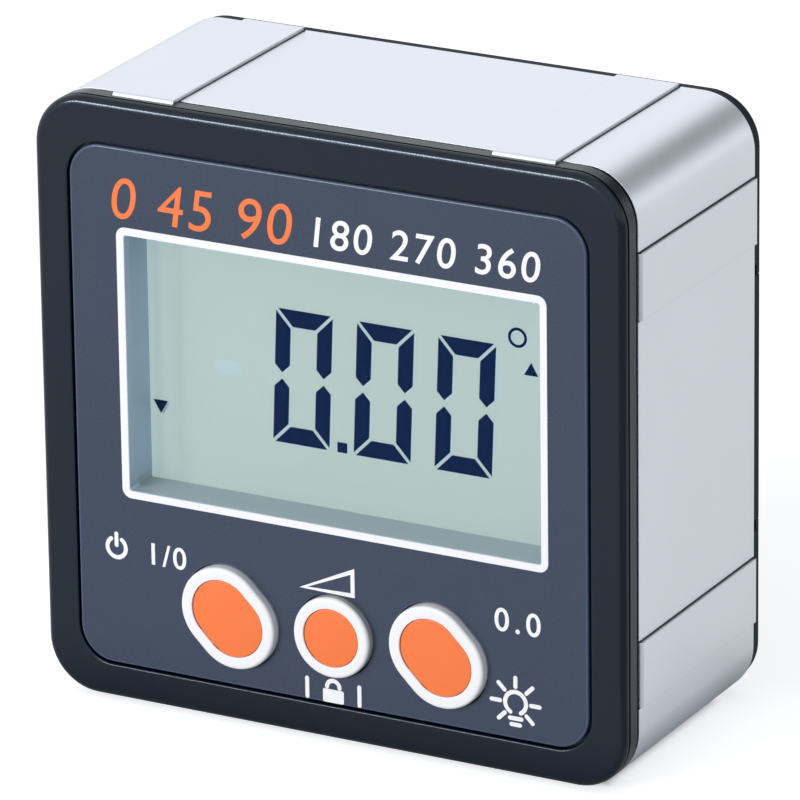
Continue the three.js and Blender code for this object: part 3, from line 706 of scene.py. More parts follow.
def display_face():
    """The reflecting back of a liquid crystal: grey-green, faintly cloudy, with a fine sparkle, and
    paler at its left edge, where it also glows a little: painted light that fills in the shade that
    the window's wall casts there."""
    shade_fill_until, shade_fill_end, pale = 1.0, 4.6, 1.5
    shader = Shader("display face", Specular_IOR_Level=0.15, Emission_Strength=0.38)
    fine = shader.noise(0.08, 2.0)
    broad = shader.noise(16.0, 1.0)
    colour = chosen("display")
    (left, _), _, _ = extent("lcd_glass")
    # Painted light: near the left edge the colour is paler and glows, against the wall's shadow
    near = 1 - (shader.axis(0) - left).smooth(shade_fill_until, shade_fill_end)
    face = shader.mix(broad, tinted(colour, 0.97), tinted(colour, 1.03))
    face = shader.mix(near, face, tinted(colour, pale))
    return shader.set(
        Base_Color=shader.mix(fine * 0.12, face, tinted(colour, 0.8)),
        Emission_Color=shader.mix(near, BLACK, colour),
        Roughness=0.34 + fine * 0.1,
        Normal=shader.bump(fine, 0.0006),
    )


# Sizes and colours that a user would change


def length(name, default, description):
    """A length property, its default given in millimetres."""
    return FloatProperty(name=name, description=description, default=default * MM, min=0.0,
                         precision=6, unit="LENGTH")


def paint(name, default, description):
    """A colour property, its default given in screen values."""
    return FloatVectorProperty(name=name, description=description, default=shade(*default),
                               size=3, min=0.0, max=1.0, subtype="COLOR")


class CaseSizes(bpy.types.PropertyGroup):
    """Sizes of the case"""

    corner: length("Corner radius", 4.7, "Radius of the case's corners")
    wall: length("Frame wall", 2.2, "Thickness of the aluminium frame")
    frame_edge: length("Frame edge", 0.05, "Rounding of the frame's ends")
    pad_width: length("Pad width", 5.8, "Width of a measuring pad")
    pad_edge: length("Pad edge", 0.07, "Rounding of a measuring pad's long edges")
    pad_fall: length("Pad fall", 0.28, "Rounding of a measuring pad's two ends")
    pad_sink: length("Pad sink", 0.7, "How far a pad reaches below the side that it stands on")
    pad_groove: length("Pad groove", 0.13, "Width of the fine groove along a pad's foot")
    groove_sink: length("Pad groove depth", 0.3, "Depth of the fine groove along a pad's foot")
    tongue: length("Tongue", 1.15, "How far the top and base pads reach over the bezel")
    tongue_gap: length("Tongue gap", 0.1, "Gap round a tongue in the bezel")
    magnet_edge: length("Magnet edge", 0.15, "Rounding of a magnet's edge")
    bezel_depth: length("Bezel depth", 2.35, "Depth of the bezel's side")
    bezel_edge: length("Bezel edge", 0.7, "Rounding of the bezel's front edge")
    back_edge: length("Bezel back edge", 0.15, "Bevel of the bezel's edge at the frame")
    groove_start: length("Groove start", 0.76, "Depth at which the bezel's side groove starts")
    groove_width: length("Groove width", 0.24, "Width of the bezel's side groove")
    groove_depth: length("Groove depth", 0.25, "Depth of the bezel's side groove")
    lip: length("Lip", 2.25, "How far the bezel's lip reaches into the frame")
    lip_wall: length("Lip wall", 1.2, "Thickness of the lips of the bezel and the cover")
    lip_gap: length("Lip gap", 0.15, "Gap between a lip and the frame")
    pocket_corner: length("Pocket corner", 3.27, "Corner radius of the bezel's pocket")
    boss: length("Boss radius", 2.4, "Radius of a case screw's boss")
    small_boss: length("Board boss radius", 1.8, "Radius of a board screw's boss")
    cover_inset: length("Cover inset", 0.2, "How far the cover lies inside the case's outline")
    cover_edge: length("Cover edge", 0.25, "Rounding of the cover's back edge")
    tongue_door: length("Door tongue", 0.9, "How far the door's tongues reach into the cover")
    grip: length("Grip", 9.0, "Width and height of the door's thumb grip")
    grip_depth: length("Grip depth", 0.5, "Depth of the door's thumb grip")
    grip_inset: length("Grip inset", 5.0, "Distance of the thumb grip from the door's outer end")


class FaceSizes(bpy.types.PropertyGroup):
    """Sizes of the face, the display and the keys"""

    plate_gap: length("Plate gap", 0.22, "Gap between the face plate and its pocket")
    plate_edge: length("Plate edge", 0.2, "Rounding of the face plate's edge")
    window_flange: length("Window flange", 1.0, "How far the window's flange reaches behind")
    shroud_gap: length("Shroud gap", 0.3, "Gap between the display's surround and the bezel")
    shroud_wall: length("Shroud wall", 1.05, "Thickness of the display's surround")
    border: length("Border line", 0.66, "Width of the white line round the window")
    ink: length("Ink", 0.02, "How far the print stands out of the face plate")
    key_radius: length("Side key radius", 3.9, "Radius of the ends of the side keys")
    key_straight: length("Side key straight", 0.82, "Half of the straight of the side keys")
    round_key: length("Round key radius", 3.6, "Radius of the round key")
    key_ring: length("Side key ring", 1.12, "Width of the white ring of the side keys")
    round_ring: length("Round key ring", 1.02, "Width of the white ring of the round key")
    key_gap: length("Key gap", 0.12, "Gap round the keys")
    key_shoulder: length("Key shoulder", 0.3, "Rounding of the keys' outer edge")
    key_flange: length("Key flange", 0.7, "Width of the flange that holds the keys in")
    inlay_gap: length("Inlay gap", 0.04, "Gap between a key's ring and its inlay")
    inlay_fall: length("Inlay fall", 0.1, "How far an inlay falls from its middle to its edge")


class Finishes(bpy.types.PropertyGroup):
    """Colours of the finishes"""

    aluminium: paint("Aluminium", (239, 242, 248), "Anodised frame")
    bezel: paint("Bezel", (6, 14, 26), "Glossy black of the bezel")
    black: paint("Black plastic", (27, 34, 46), "Cover and door")
    face: paint("Face", (55, 66, 86), "Face plate")
    white: paint("White", (248, 248, 250), "Key rings and white print")
    orange: paint("Orange", (255, 124, 62), "Key inlays and orange print")
    display: paint("Display", (189, 205, 200), "Back of the liquid crystal")
    segment: paint("Segments", (6, 32, 72), "Dark parts of the reading")
    ghost: paint("Ghosts", (184, 208, 212), "Unlit parts of the reading, and its shadow")
    surround: paint("Surround", (182, 202, 222), "Walls round the display")
    # Painted shade: the wall below the display is darker than the others round it
    surround_foot: paint("Surround foot", (178, 192, 198), "Wall below the display")
    steel: paint("Steel", (205, 206, 210), "Screws, contacts and springs")
    magnet: paint("Magnet", (214, 214, 218), "Base magnets")
    cell_jacket: paint("Cell jacket", (52, 98, 128), "Printed can of the cells")
    cell_band: paint("Cell band", (196, 202, 206), "Pale band of the cells")
    board: paint("Board", (22, 78, 44), "Solder mask of the board")
    resin: paint("Resin", (30, 30, 33), "Chips and switches")
    frosted: paint("Frosted", (236, 238, 232), "Light guide")
    lamp: paint("Lamp resin", (240, 226, 150), "Backlight lamps")
    rubber: paint("Rubber", (52, 52, 55), "Contact strips")


class StageSettings(bpy.types.PropertyGroup):
    """The camera, the lamps and the floor"""

    heading: FloatProperty(name="Heading", description="How far the camera stands to the right",
                           default=math.radians(28.419), subtype="ANGLE")
    pitch: FloatProperty(name="Pitch", description="How far the camera stands above the face",
                         default=math.radians(20.123), subtype="ANGLE")
    roll: FloatProperty(name="Roll", description="How far the camera is turned about its view",
                        default=math.radians(-0.753), subtype="ANGLE")
    distance: length("Distance", 671.895, "From the camera to the point of the face it looks at")
    aim_across: length("Aim across", 6.943, "The point it looks at, to the right of the middle")
    aim_up: length("Aim up", 4.778, "The point it looks at, above the middle")
    lens: FloatProperty(name="Lens", description="Focal length in millimetres", default=365.646)
    sky: FloatProperty(name="Sky", description="Light of the surroundings", default=0.5)
    cool: paint("Cool", (247, 251, 255), "Tint of the surroundings")
    floor: paint("Floor", (222, 222, 224), "Colour of the floor")
    lift: FloatProperty(name="Lift", description="Share of the floor's white that isn't shaded",
                        default=0.66)
    shine: FloatProperty(name="Shine", description="The same share as reflections show it",
                         default=0.34)
    dim: FloatProperty(name="Dim", description="Light of the room's dark corner at the back",
                       default=0.25)


def sizes(group):
    """A group's lengths in millimetres, by name."""
    names = type(group).__annotations__
    return type("Sizes", (), {key: getattr(group, key) / MM for key in names})


def case_sizes():
    return sizes(bpy.context.scene.inclinometer_case)


def face_sizes():
    return sizes(bpy.context.scene.inclinometer_face)


def chosen(name):
    """The colour chosen for a finish."""
    return tuple(getattr(bpy.context.scene.inclinometer_finishes, name))


# Shapes that several pieces share


def case_outline(shrink=0.0):
    """The outline of the case, drawn in by a distance."""
    case = case_sizes()
    return rounded(CASE_WIDTH - 2 * shrink, CASE_HEIGHT - 2 * shrink, case.corner - shrink)


def bore_outline(shrink=0.0):
    """The outline of the frame's bore, drawn in by a distance."""
    case = case_sizes()
    return case_outline(case.wall + shrink)


def lip(front, back):
    """The ring of the bezel or the cover that reaches into the frame."""
    case = case_sizes()
    inner = bore_outline(case.lip_gap + case.lip_wall)
    return prism(bore_outline(case.lip_gap), front, back, holes=[inner])


def pads(case, growth, sink, front, back, upright, proud=0.0):
    """Bars for the pads of the top and base, or of the two sides where upright is true, wider on
    each side by growth. They reach from sink below the side to the pads' tops, or proud above
    them, and fall in a quarter circle at their two ends. Their places come from the record's
    mounts."""
    frame_box = extent("body_frame")
    mounts = {mount["name"]: mount["pos_m"] for mount in frame["record"]["mounts"]}
    reach = (frame_box[0, 1] if upright else frame_box[2, 1]) + proud
    place = (mounts["right_pad"][2] - MIDDLE_Z) / MM if upright else mounts["base_pad"][0] / MM
    width = case.pad_width + 2 * growth
    inner = (CASE_WIDTH if upright else CASE_HEIGHT) / 2 - sink
    fall, edge = (0.0, TINY) if growth else (case.pad_fall, case.pad_edge)
    steps = 1 if growth else EDGE_STEPS
    bars = []
    for side in (-1, 1):
        for centre in (-place, place):
            rows = []
            for inward, depth in edge_profile(front, back, fall, fall):
                height, out = reach - inward - inner, side * (reach - inward + inner) / 2
                outline = (rounded(height, width, edge, out, centre, steps) if upright else
                           rounded(width, height, edge, centre, out, steps))
                rows.append(level(outline, depth))
            bar = Shell().rows(rows)
            bar.flat(front, rows[0][:, [0, 2]])
            bar.flat(back, rows[-1][:, [0, 2]])
            bars.append(bar)
    return several(bars)


def screw_places(stem):
    """The (x, z) places of the four screws whose nodes' names start with stem."""
    return [middle(f"{stem}_{number}")[[0, 2]] for number in range(1, 5)]


def posts(places, radius, front, back, flare=0.0):
    """Round posts or holes that run in depth, flared at their back end for a broken edge."""
    profile = [(0, front), (radius, front), (radius, back - flare), (radius + flare, back),
               (0, back)]
    if flare:
        profile[-1:] = [(radius + flare, back + OVERRUN), (0, back + OVERRUN)]
    return several([Shell().turned(profile, (x, 0, z), 1, SCREW_STEPS) for x, z in places])


def key_outlines():
    """Each key's name, its outline and the width of its white ring."""
    face = face_sizes()
    found = []
    for name in KEYS:
        x, _, z = middle(f"{name}_key_inlay")
        is_round = name == "hold"
        outline = (circle(face.round_key, x, z) if is_round else
                   long_round(x, z, face.key_radius, face.key_straight, -math.pi / 4))
        found.append((name, outline, face.round_ring if is_round else face.key_ring))
    return found


def window_place():
    """Width, height and middle of the opening for the display window."""
    face = face_sizes()
    (x0, x1), _, (z0, z1) = extent("display_window")
    flange = 2 * face.window_flange
    return x1 - x0 - flange, z1 - z0 - flange, (x0 + x1) / 2, (z0 + z1) / 2


def window_outline(growth=0.0):
    """The outline of the window's opening, grown by a distance."""
    corner = 0.2
    width, height, x, z = window_place()
    return rounded(width + 2 * growth, height + 2 * growth, corner, x, z, steps=6)


def stroke(path, width):
    """The outline of a line of one width along an open path, with half circles at its ends."""
    path = np.asarray(path, float)
    along = np.diff(path, axis=0)
    along /= np.linalg.norm(along, axis=1, keepdims=True)
    side = np.stack([along[:, 1], -along[:, 0]], -1)
    before, after = np.concatenate([side[:1], side]), np.concatenate([side, side[-1:]])
    mitre = (before + after) / (1 + (before * after).sum(1, keepdims=True)) * width / 2
    sweep = np.linspace(0, np.pi, 9)[1:-1]

    def cap(centre, normal):
        start = math.atan2(normal[1], normal[0])
        return centre + width / 2 * np.stack([np.cos(start + sweep), np.sin(start + sweep)], -1)

    return np.concatenate([path + mitre, cap(path[-1], side[-1]),
                           (path - mitre)[::-1], cap(path[0], -side[0])])


def arc(x, z, radius, start, end, steps=24):
    """Points on part of a circle, its angles in degrees."""
    turn = np.radians(np.linspace(start, end, steps + 1))
    return np.stack([x + radius * np.cos(turn), z + radius * np.sin(turn)], -1)


def lettering(text, height, x, z, lean=0.0, spacing=1.0, weight=0.0):
    """Plain numerals as a flat-topped mesh, (x, z) being the middle of their foot."""
    curve = bpy.data.curves.new("numerals", "FONT")
    curve.body = text
    curve.shear = lean
    curve.space_character = spacing
    curve.offset = weight
    curve.extrude = 0.01
    thing = bpy.data.objects.new("numerals", curve)
    bpy.context.collection.objects.link(thing)
    graph = bpy.context.evaluated_depsgraph_get()
    mesh = bpy.data.meshes.new_from_object(thing.evaluated_get(graph))
    bpy.data.objects.remove(thing)
    points = np.zeros(len(mesh.vertices) * 3)
    mesh.vertices.foreach_get("co", points)
    points = points.reshape(-1, 3)
    low, high = points.min(0), points.max(0)
    scale = height / (high[1] - low[1])
    ink = face_sizes().ink
    depth = np.where(points[:, 2] > 0, -ink, ink)
    placed = np.stack([
        x + (points[:, 0] - (low[0] + high[0]) / 2) * scale,
        depth,
        z + (points[:, 1] - low[1]) * scale,
    ], -1)
    return Shell().add(placed, [list(face.vertices) for face in mesh.polygons])


def broken_edge(end, side=1, lift=0.0):
    """(inset, depth) pairs down the end of a wall whose edge is broken, and on past it; side is -1
    where the wall widens."""
    return [(0, end - BREAK), (side * BREAK / 3, end - BREAK / 3), (side * BREAK, end + lift),
            (side * BREAK, end + FAR)]


def matt_black(name):
    """The dull black plastic of the cover and the door."""
    return moulded(name, chosen("black"), 0.55, grain=0.16, depth=0.01, edge_wear_and_sheen=1.0,
                   Specular_IOR_Level=0.12)


def sign(outlines, front, back):
    """Flat signs, each given by an outline and the holes in it."""
    return several([prism(outline, front, back, holes=holes) for outline, holes in outlines])


# Pieces


class Builder:
    """What the operators share: each one builds, and then says that it has finished."""

    def execute(self, context):
        self.build()
        return {"FINISHED"}


class INCLINOMETER_OT_body_frame(Builder, bpy.types.Operator):
    """Builds the aluminium frame with its eight measuring pads and its magnet pockets"""

    bl_idname = "inclinometer.body_frame"
    bl_label = "Body frame"

    def build(self):
        case = case_sizes()
        bore_edge, bevel = 0.1, 0.2
        tip, back = extent("body_frame")[1]
        front = tip + case.tongue
        ring = prism(case_outline(), front, back, case.frame_edge, case.frame_edge,
                     [bore_outline()], bore_edge)
        grooves = several([pads(case, case.pad_groove, case.groove_sink, front - FAR, back + FAR,
                                upright, OVERRUN) for upright in (False, True)])
        bars = several([
            pads(case, 0.0, case.pad_sink, tip, back + OVERLAP, False),
            pads(case, 0.0, case.pad_sink, front - OVERLAP, back + OVERLAP, True),
        ])
        pockets = []
        for side in ("left", "right"):
            x, depth, _ = middle(f"base_magnet_{side}")
            (x0, x1), _, (_, top) = extent(f"base_magnet_{side}")
            radius = (x1 - x0) / 2 + FIT
            base = -CASE_HEIGHT / 2 - SEAT
            end = -CASE_HEIGHT / 2 - FAR
            profile = [(0, top + FIT), (radius, top + FIT), (radius, base + bevel),
                       (radius + bevel, base), (radius + bevel, end), (0, end)]
            pockets.append(Shell().turned(profile, (x, depth, 0), 2))
        mesh = combined(ring.mesh(), ("DIFFERENCE", grooves), ("UNION", bars),
                        ("DIFFERENCE", several(pockets)))
        metal = satin_metal("satin aluminium", chosen("aluminium"), 0.34)
        piece("frame_body", mesh, metal, "case", "aluminium", "body_frame")


class INCLINOMETER_OT_magnets(Builder, bpy.types.Operator):
    """Builds the two plated disc magnets in the base"""

    bl_idname = "inclinometer.magnets"
    bl_label = "Base magnets"

    def build(self):
        case = case_sizes()
        plate = plated("magnet plate", chosen("magnet"), 0.18)
        for side in ("left", "right"):
            node = f"base_magnet_{side}"
            (x0, x1), _, (base, top) = extent(node)
            x, depth, _ = middle(node)
            radius = (x1 - x0) / 2
            wall = edge_profile(base, top, case.magnet_edge, case.magnet_edge)
            profile = [(0, base), *[(radius - inward, z) for inward, z in wall], (0, top)]
            disc = Shell().turned(profile, (x, depth, 0), 2)
            piece(f"magnet_{side}", disc, plate, "case", "magnet", node)


class INCLINOMETER_OT_front_bezel(Builder, bpy.types.Operator):
    """Builds the bezel: its rounded edge, side groove, face pocket, notches, lip and screw posts"""

    bl_idname = "inclinometer.front_bezel"
    bl_label = "Front bezel"

    def build(self):
        case = case_sizes()
        face = face_sizes()
        groove_break, pocket_edge, pilot, small_pilot = 0.03, 0.18, 1.3, 0.9
        outline = case_outline()
        groove_end = case.groove_start + case.groove_width
        side = edge_profile(0, case.groove_start - groove_break, case.bezel_edge) + [
            (groove_break, case.groove_start), (case.groove_depth, case.groove_start),
            (case.groove_depth, groove_end), (groove_break, groove_end),
            (0, groove_end + groove_break),
            (0, case.bezel_depth - case.back_edge), (case.back_edge, case.bezel_depth),
        ]
        (x0, x1), (_, plate_back), (z0, z1) = extent("face_plate")
        gap = 2 * face.plate_gap
        pocket = rounded(x1 - x0 + gap, z1 - z0 + gap, case.pocket_corner,
                         (x0 + x1) / 2, (z0 + z1) / 2)
        floor = plate_back + SEAT
        holes = [window_outline(face.shroud_wall + face.shroud_gap)]
        holes += [inset(line, -face.key_gap) for _, line, _ in key_outlines()]
        shell = Shell().carried(outline, side)
        shell.carried(pocket, edge_profile(0, floor, pocket_edge, side=-1))
        shell.flat(0, inset(outline, case.bezel_edge), inset(pocket, -pocket_edge))
        shell.flat(floor, pocket, *holes)
        shell.flat(case.bezel_depth, inset(outline, case.back_edge), *holes)
        for hole in holes:
            shell.carried(hole, [(0, floor), (0, case.bezel_depth)])
        places, small_places = screw_places("case_screw"), screw_places("board_screw")
        screw_front, small_screw_front = (extent(f"{kind}_screw_1")[1, 0]
                                          for kind in ("case", "board"))
        board_front = extent("main_board")[1, 0]
        start = case.bezel_depth - OVERRUN
        frame_tip = extent("body_frame")[1, 0]
        notches = pads(case, case.tongue_gap, case.pad_sink + case.tongue_gap,
                       frame_tip - case.tongue_gap, case.bezel_depth + OVERRUN, False, OVERRUN)
        post_end = extent("back_cover")[1, 1] - COVER_RIM - COVER_BOSS
        mesh = combined(
            shell.mesh(),
            ("UNION", lip(start, case.bezel_depth + case.lip)),
            ("UNION", posts(places, case.boss, start, post_end)),
            ("UNION", posts(small_places, case.small_boss, start, board_front - SEAT)),
            ("DIFFERENCE", notches),
            ("DIFFERENCE", posts(places, pilot, screw_front - OVERRUN, post_end + FAR)),
            ("DIFFERENCE", posts(small_places, small_pilot, small_screw_front - OVERRUN,
                                 board_front + FAR)),
        )
        black = moulded("black plastic", chosen("bezel"), 0.2, edge_wear_and_sheen=1.0, Specular_IOR_Level=0.48,
                        Specular_Tint=(0.72, 0.86, 1.0, 1.0))
        piece("bezel_front", mesh, black, "case", "black_plastic", "front_bezel")


class INCLINOMETER_OT_face_plate(Builder, bpy.types.Operator):
    """Builds the inlaid face plate with its openings"""

    bl_idname = "inclinometer.face_plate"
    bl_label = "Face plate"

    def build(self):
        case = case_sizes()
        face = face_sizes()
        hole_edge = 0.08
        (x0, x1), (front, back), (z0, z1) = extent("face_plate")
        outline = rounded(x1 - x0, z1 - z0, case.pocket_corner - face.plate_gap,
                          (x0 + x1) / 2, (z0 + z1) / 2)
        shell = Shell().carried(outline, edge_profile(front, back, face.plate_edge))
        key_holes = [inset(line, -face.key_gap) for _, line, _ in key_outlines()]
        for hole in key_holes:
            shell.carried(hole, edge_profile(front, back, hole_edge, side=-1))
        shell.carried(window_outline(), [(0, front), (0, back)])
        shell.flat(front, inset(outline, face.plate_edge), window_outline(),
                   *[inset(hole, -hole_edge) for hole in key_holes])
        shell.flat(back, outline, window_outline(), *key_holes)
        # Its rounded edge is lightened far past wear: a painted highlight along the plate's rim
        slate = moulded("face plastic", chosen("face"), 0.28, grain=0.09, depth=0.0015,
                        spread=0.06, edge_wear_and_sheen=2.0, Specular_IOR_Level=0.4)
        piece("plate_face", shell, slate, "case", "face_plastic", "face_plate")


class INCLINOMETER_OT_print(Builder, bpy.types.Operator):
    """Prints the border, the angle numbers and the plain key signs on the face plate"""

    bl_idname = "inclinometer.print"
    bl_label = "Print on the face"

    def build(self):
        face = face_sizes()
        white = moulded("white print", chosen("white"), 0.4, grain=0.06, depth=0.0006,
                        spread=0.03, edge_wear_and_sheen=1.0)
        orange = moulded("orange print", chosen("orange"), 0.42, grain=0.06, depth=0.0006,
                         spread=0.05, edge_wear_and_sheen=1.0)
        border_corner, border_shift, line = 0.85, 0.04, 0.38
        width, height, x, z = window_place()
        border = prism(rounded(width + 2 * face.border, height + 2 * face.border, border_corner,
                               x - border_shift, z), -face.ink, face.ink, face.ink / 2,
                       holes=[window_outline()])
        # Text, height, middle of its foot, lean, spacing and weight
        numerals = (
            ("180 270 360", 2.7, 9.55, 16.95, 0.12, 1.15, 0.008),
            ("0.0", 2.1, 17.75, -14.15, 0.0, 1.3, 0.012),
            ("1/0", 2.0, -15.5, -14.0, 0.0, 1.15, 0.012),
        )
        white_marks = [border, *[lettering(*numeral) for numeral in numerals]]
        power, bulb, ray_from, ray_to = (-20.6, -13.0), np.array([17.5, -20.35]), 1.45, 2.25
        lines = [
            # Power sign
            arc(*power, 0.9, 125, 415), [(-20.6, -12.8), (-20.6, -11.75)],
            # Lamp: its bulb and its foot
            arc(*bulb, 0.98, -60, 240), [(16.96, -21.75), (18.04, -21.75)],
            [(17.1, -22.3), (17.9, -22.3)],
            # Shackle of the padlock, and a bar on each side of it
            arc(0.2, -22.1, 0.6, 0, 180), [(-2.3, -23.3), (-2.3, -21.65)],
            [(2.7, -23.3), (2.7, -21.65)],
        ]
        for angle in (0, 45, 90, 135, 180, 225, 315):
            way = np.array([math.cos(math.radians(angle)), math.sin(math.radians(angle))])
            lines.append([bulb + way * ray_from, bulb + way * ray_to])
        signs = [(stroke(path, line), []) for path in lines]
        signs.append((rounded(2.0, 1.2, 0.15, 0.2, -22.9, steps=4), []))
        slope = np.array([(-2.5, -13.45), (2.2, -13.45), (2.2, -11.3)])
        signs.append((inset(slope, -line / 2), [inset(slope, line / 2)]))
        white_marks.append(sign(signs, -face.ink, face.ink))
        piece("print_white", several(white_marks), white, "case", "white_plastic")
        numbers = lettering("0 45 90", 3.65, -11.6, 16.65, 0.14, 1.1)
        piece("print_orange", numbers, orange, "case", "orange_plastic")


class INCLINOMETER_OT_display(Builder, bpy.types.Operator):
    """Builds the clear window and the liquid crystal's reading, and finishes its surround"""

    bl_idname = "inclinometer.display"
    bl_label = "Display"

    def build(self):
        face = face_sizes()
        bevel, flange, shaded_foot_height, outer, inner = 0.06, 0.6, 0.7, 0.002, 0.045
        lit_rise, shadow_rise, shadow_shift = 0.03, 0.012, (0.22, -0.1)
        lens_back = extent("display_window")[1, 1]
        outline = window_outline(-SEAT)
        reach = -face.window_flange - SEAT
        profile = edge_profile(0, lens_back - flange, bevel) + [
            (reach, lens_back - flange), (reach, lens_back)]
        lens = Shell().carried(outline, profile)
        lens.flat(0, inset(outline, bevel))
        lens.flat(lens_back, inset(outline, reach))
        piece("window_clear", lens, clear_window(), "case", "clear_window", "display_window")
        # The wall below the display takes a darker colour up to this height: painted shade
        foot = MIDDLE_Z / MM + min(z for _, z in window_outline()) + shaded_foot_height
        slate = moulded("display surround", chosen("surround"), 0.5, grain=0.2, depth=0.006,
                        foot=(foot, chosen("surround_foot")), Specular_IOR_Level=0.2)
        # The lining runs from the plate's face to the lens's back: beside the plate it is print on
        # the lens's edge, and behind the plate it is painted light, a pale sheet over a gap in
        # shade
        liner = prism(window_outline(-outer), face.ink, lens_back + SEAT,
                      holes=[window_outline(-inner)])
        piece("window_edge_print", liner, slate, "case", "slate_plastic")

        glass = extent("lcd_glass")[1, 0]
        dark = moulded("display segments", chosen("segment"), 0.4, grain=0.08, depth=0.0005,
                       spread=0.06, edge_wear_and_sheen=1.0, Specular_IOR_Level=0.0)
        faint = moulded("display ghosts", chosen("ghost"), 0.34, grain=0.08, depth=0.0005,
                        spread=0.03, edge_wear_and_sheen=1.0)
        lit, shadows = self.reading()
        piece("display_reading", sign(lit, glass - lit_rise, glass), dark, "case",
              "display_glass")
        shadows = [(outline + shadow_shift, [hole + shadow_shift for hole in holes])
                   for outline, holes in lit] + shadows
        piece("display_shadow", sign(shadows, glass - shadow_rise, glass), faint, "case",
              "display_glass")
        dress(display_face(), "lcd_glass")
        dress(slate, "lcd_holder")
        dress(moulded("light guide", chosen("frosted"), 0.5, grain=0.15, depth=0.008),
              "light_guide")
        dress(moulded("lamp resin", chosen("lamp"), 0.25, grain=0.3, depth=0.003),
              "backlight_led_left", "backlight_led_right")
        dress(ribbed_rubber(chosen("rubber")), "contact_strip_upper", "contact_strip_lower")

    def reading(self):
        """The lit shapes, three noughts, a point, a degree ring and two arrows, and an unlit bar
        that shows faintly. A nought is six bars with slanted ends, drawn touching and then drawn
        in by a gap."""
        wide, high, foot, lean = 5.38, 11.96, -2.44, math.tan(math.radians(2.5))
        flat_bar, upright_bar, gap, apart = 1.5, 1.42, 0.15, 0.07
        half, mitre = high / 2 + apart, upright_bar / 2 + gap
        across, up = upright_bar + gap, high - flat_bar - gap
        top = [(-gap, high + gap), (across, up), (wide - across, up), (wide + gap, high + gap)]
        left = [(-gap, high + gap), (-gap, half + mitre), (upright_bar / 2, half),
                (across, half + mitre), (across, up)]
        shapes = []
        for start in (-7.33, 0.37, 8.03):
            for flip_across in (False, True):
                for flip_up in (False, True):
                    bars = [left] if flip_across else [left, top]
                    for bar in bars:
                        bar = np.array(bar, float)
                        if flip_across:
                            bar[:, 0] = wide - bar[:, 0]
                        if flip_up:
                            bar[:, 1] = high - bar[:, 1]
                        if flip_across != flip_up:
                            bar = bar[::-1]
                        bar = inset(bar, gap)
                        bar[:, 0] += start + bar[:, 1] * lean
                        bar[:, 1] += foot
                        shapes.append((bar, []))
        degree, up_arrow, down_arrow = (15.92, 10.42), (17.17, 7.27), (-18.2, -0.57)
        shapes += [
            (rounded(0.94, 0.9, 0.05, -0.71, -2.0, steps=2), []),
            (circle(0.88, *degree, 48), [circle(0.63, *degree, 48)]),
            (np.array([(-0.66, 0), (0.66, 0), (0, 1.13)]) + up_arrow, []),
            (np.array([(-0.7, 0), (0, -1.16), (0.7, 0)]) + down_arrow, []),
        ]
        return shapes, [(rounded(2.6, 1.3, 0.6, -11.6, 3.4, steps=6), [])]


class INCLINOMETER_OT_keys(Builder, bpy.types.Operator):
    """Builds the three keys: white caps with rounded rings, and their orange inlays"""

    bl_idname = "inclinometer.keys"
    bl_label = "Keys"

    def build(self):
        case = case_sizes()
        face = face_sizes()
        mouth_edge, inlay_edge, stem_radius, crown_share, crown_steps = 0.08, 0.12, 1.6, 0.97, 14
        flange_gap, flange = 0.3, 0.6
        flange_front = case.bezel_depth + flange_gap
        flange_back = flange_front + flange
        white = moulded("white key plastic", chosen("white"), 0.3, grain=0.2, depth=0.0015,
                        spread=0.02, edge_wear_and_sheen=1.0, Coat_Weight=0.2)
        orange = moulded("orange key plastic", chosen("orange"), 0.38, grain=0.12, depth=0.002,
                         spread=0.05, edge_wear_and_sheen=1.05)
        for name, outline, ring in key_outlines():
            _, (front, back), _ = extent(f"{name}_key_cap")
            inlay_back = extent(f"{name}_key_inlay")[1, 1]
            floor = inlay_back + SEAT
            hole = ring - face.inlay_gap
            mouth = [(hole - inward, front + deep) for inward, deep in quarter(mouth_edge)[::-1]]
            profile = [(hole, floor), *mouth]
            profile += edge_profile(front, flange_front, face.key_shoulder)
            profile += [(-face.key_flange, flange_front), (-face.key_flange, flange_back)]
            stem = circle(stem_radius, *middle(f"{name}_key_inlay")[[0, 2]], steps=32)
            cap = Shell().carried(outline, profile)
            cap.flat(floor, inset(outline, hole))
            cap.flat(flange_back, inset(outline, -face.key_flange), stem)
            cap.carried(stem, [(0, flange_back), (0, back)])
            cap.flat(back, stem)
            piece(f"{name}_cap", cap, white, f"{name}_key", "white_plastic", f"{name}_key_cap")

            edge = inset(outline, ring)
            radius = (face.round_key if name == "hold" else face.key_radius) - ring
            steps = np.linspace(inlay_edge, radius * crown_share, crown_steps)
            shares = (steps - inlay_edge) / (radius - inlay_edge)
            crown = list(zip(steps, front + face.inlay_fall * (1 - shares) ** 2))
            low = front + face.inlay_fall
            rim = [(inward, low + deep) for inward, deep in quarter(inlay_edge)[::-1]]
            inlay = Shell().carried(edge, [(0, inlay_back), *rim, *crown])
            inlay.flat(inlay_back, edge)
            inlay.flat(crown[-1][1], inset(edge, crown[-1][0]))
            piece(f"{name}_inlay", inlay, orange, f"{name}_key", "orange_plastic",
                  f"{name}_key_inlay")


class INCLINOMETER_OT_board(Builder, bpy.types.Operator):
    """Finishes the main board and what is soldered to it"""

    bl_idname = "inclinometer.board"
    bl_label = "Board and switches"

    def build(self):
        dress(circuit_board(chosen("board")), "main_board")
        resin = moulded("chip resin", chosen("resin"), 0.5, grain=0.15, depth=0.004)
        dress(resin, "microcontroller", "tilt_sensor", *[f"{key}_switch_body" for key in KEYS])
        slate = moulded("plunger plastic", chosen("surround"), 0.45)
        dress(slate, *[f"{key}_switch_plunger" for key in KEYS])
        dress(plated("crystal can", chosen("steel"), 0.25), "clock_crystal")


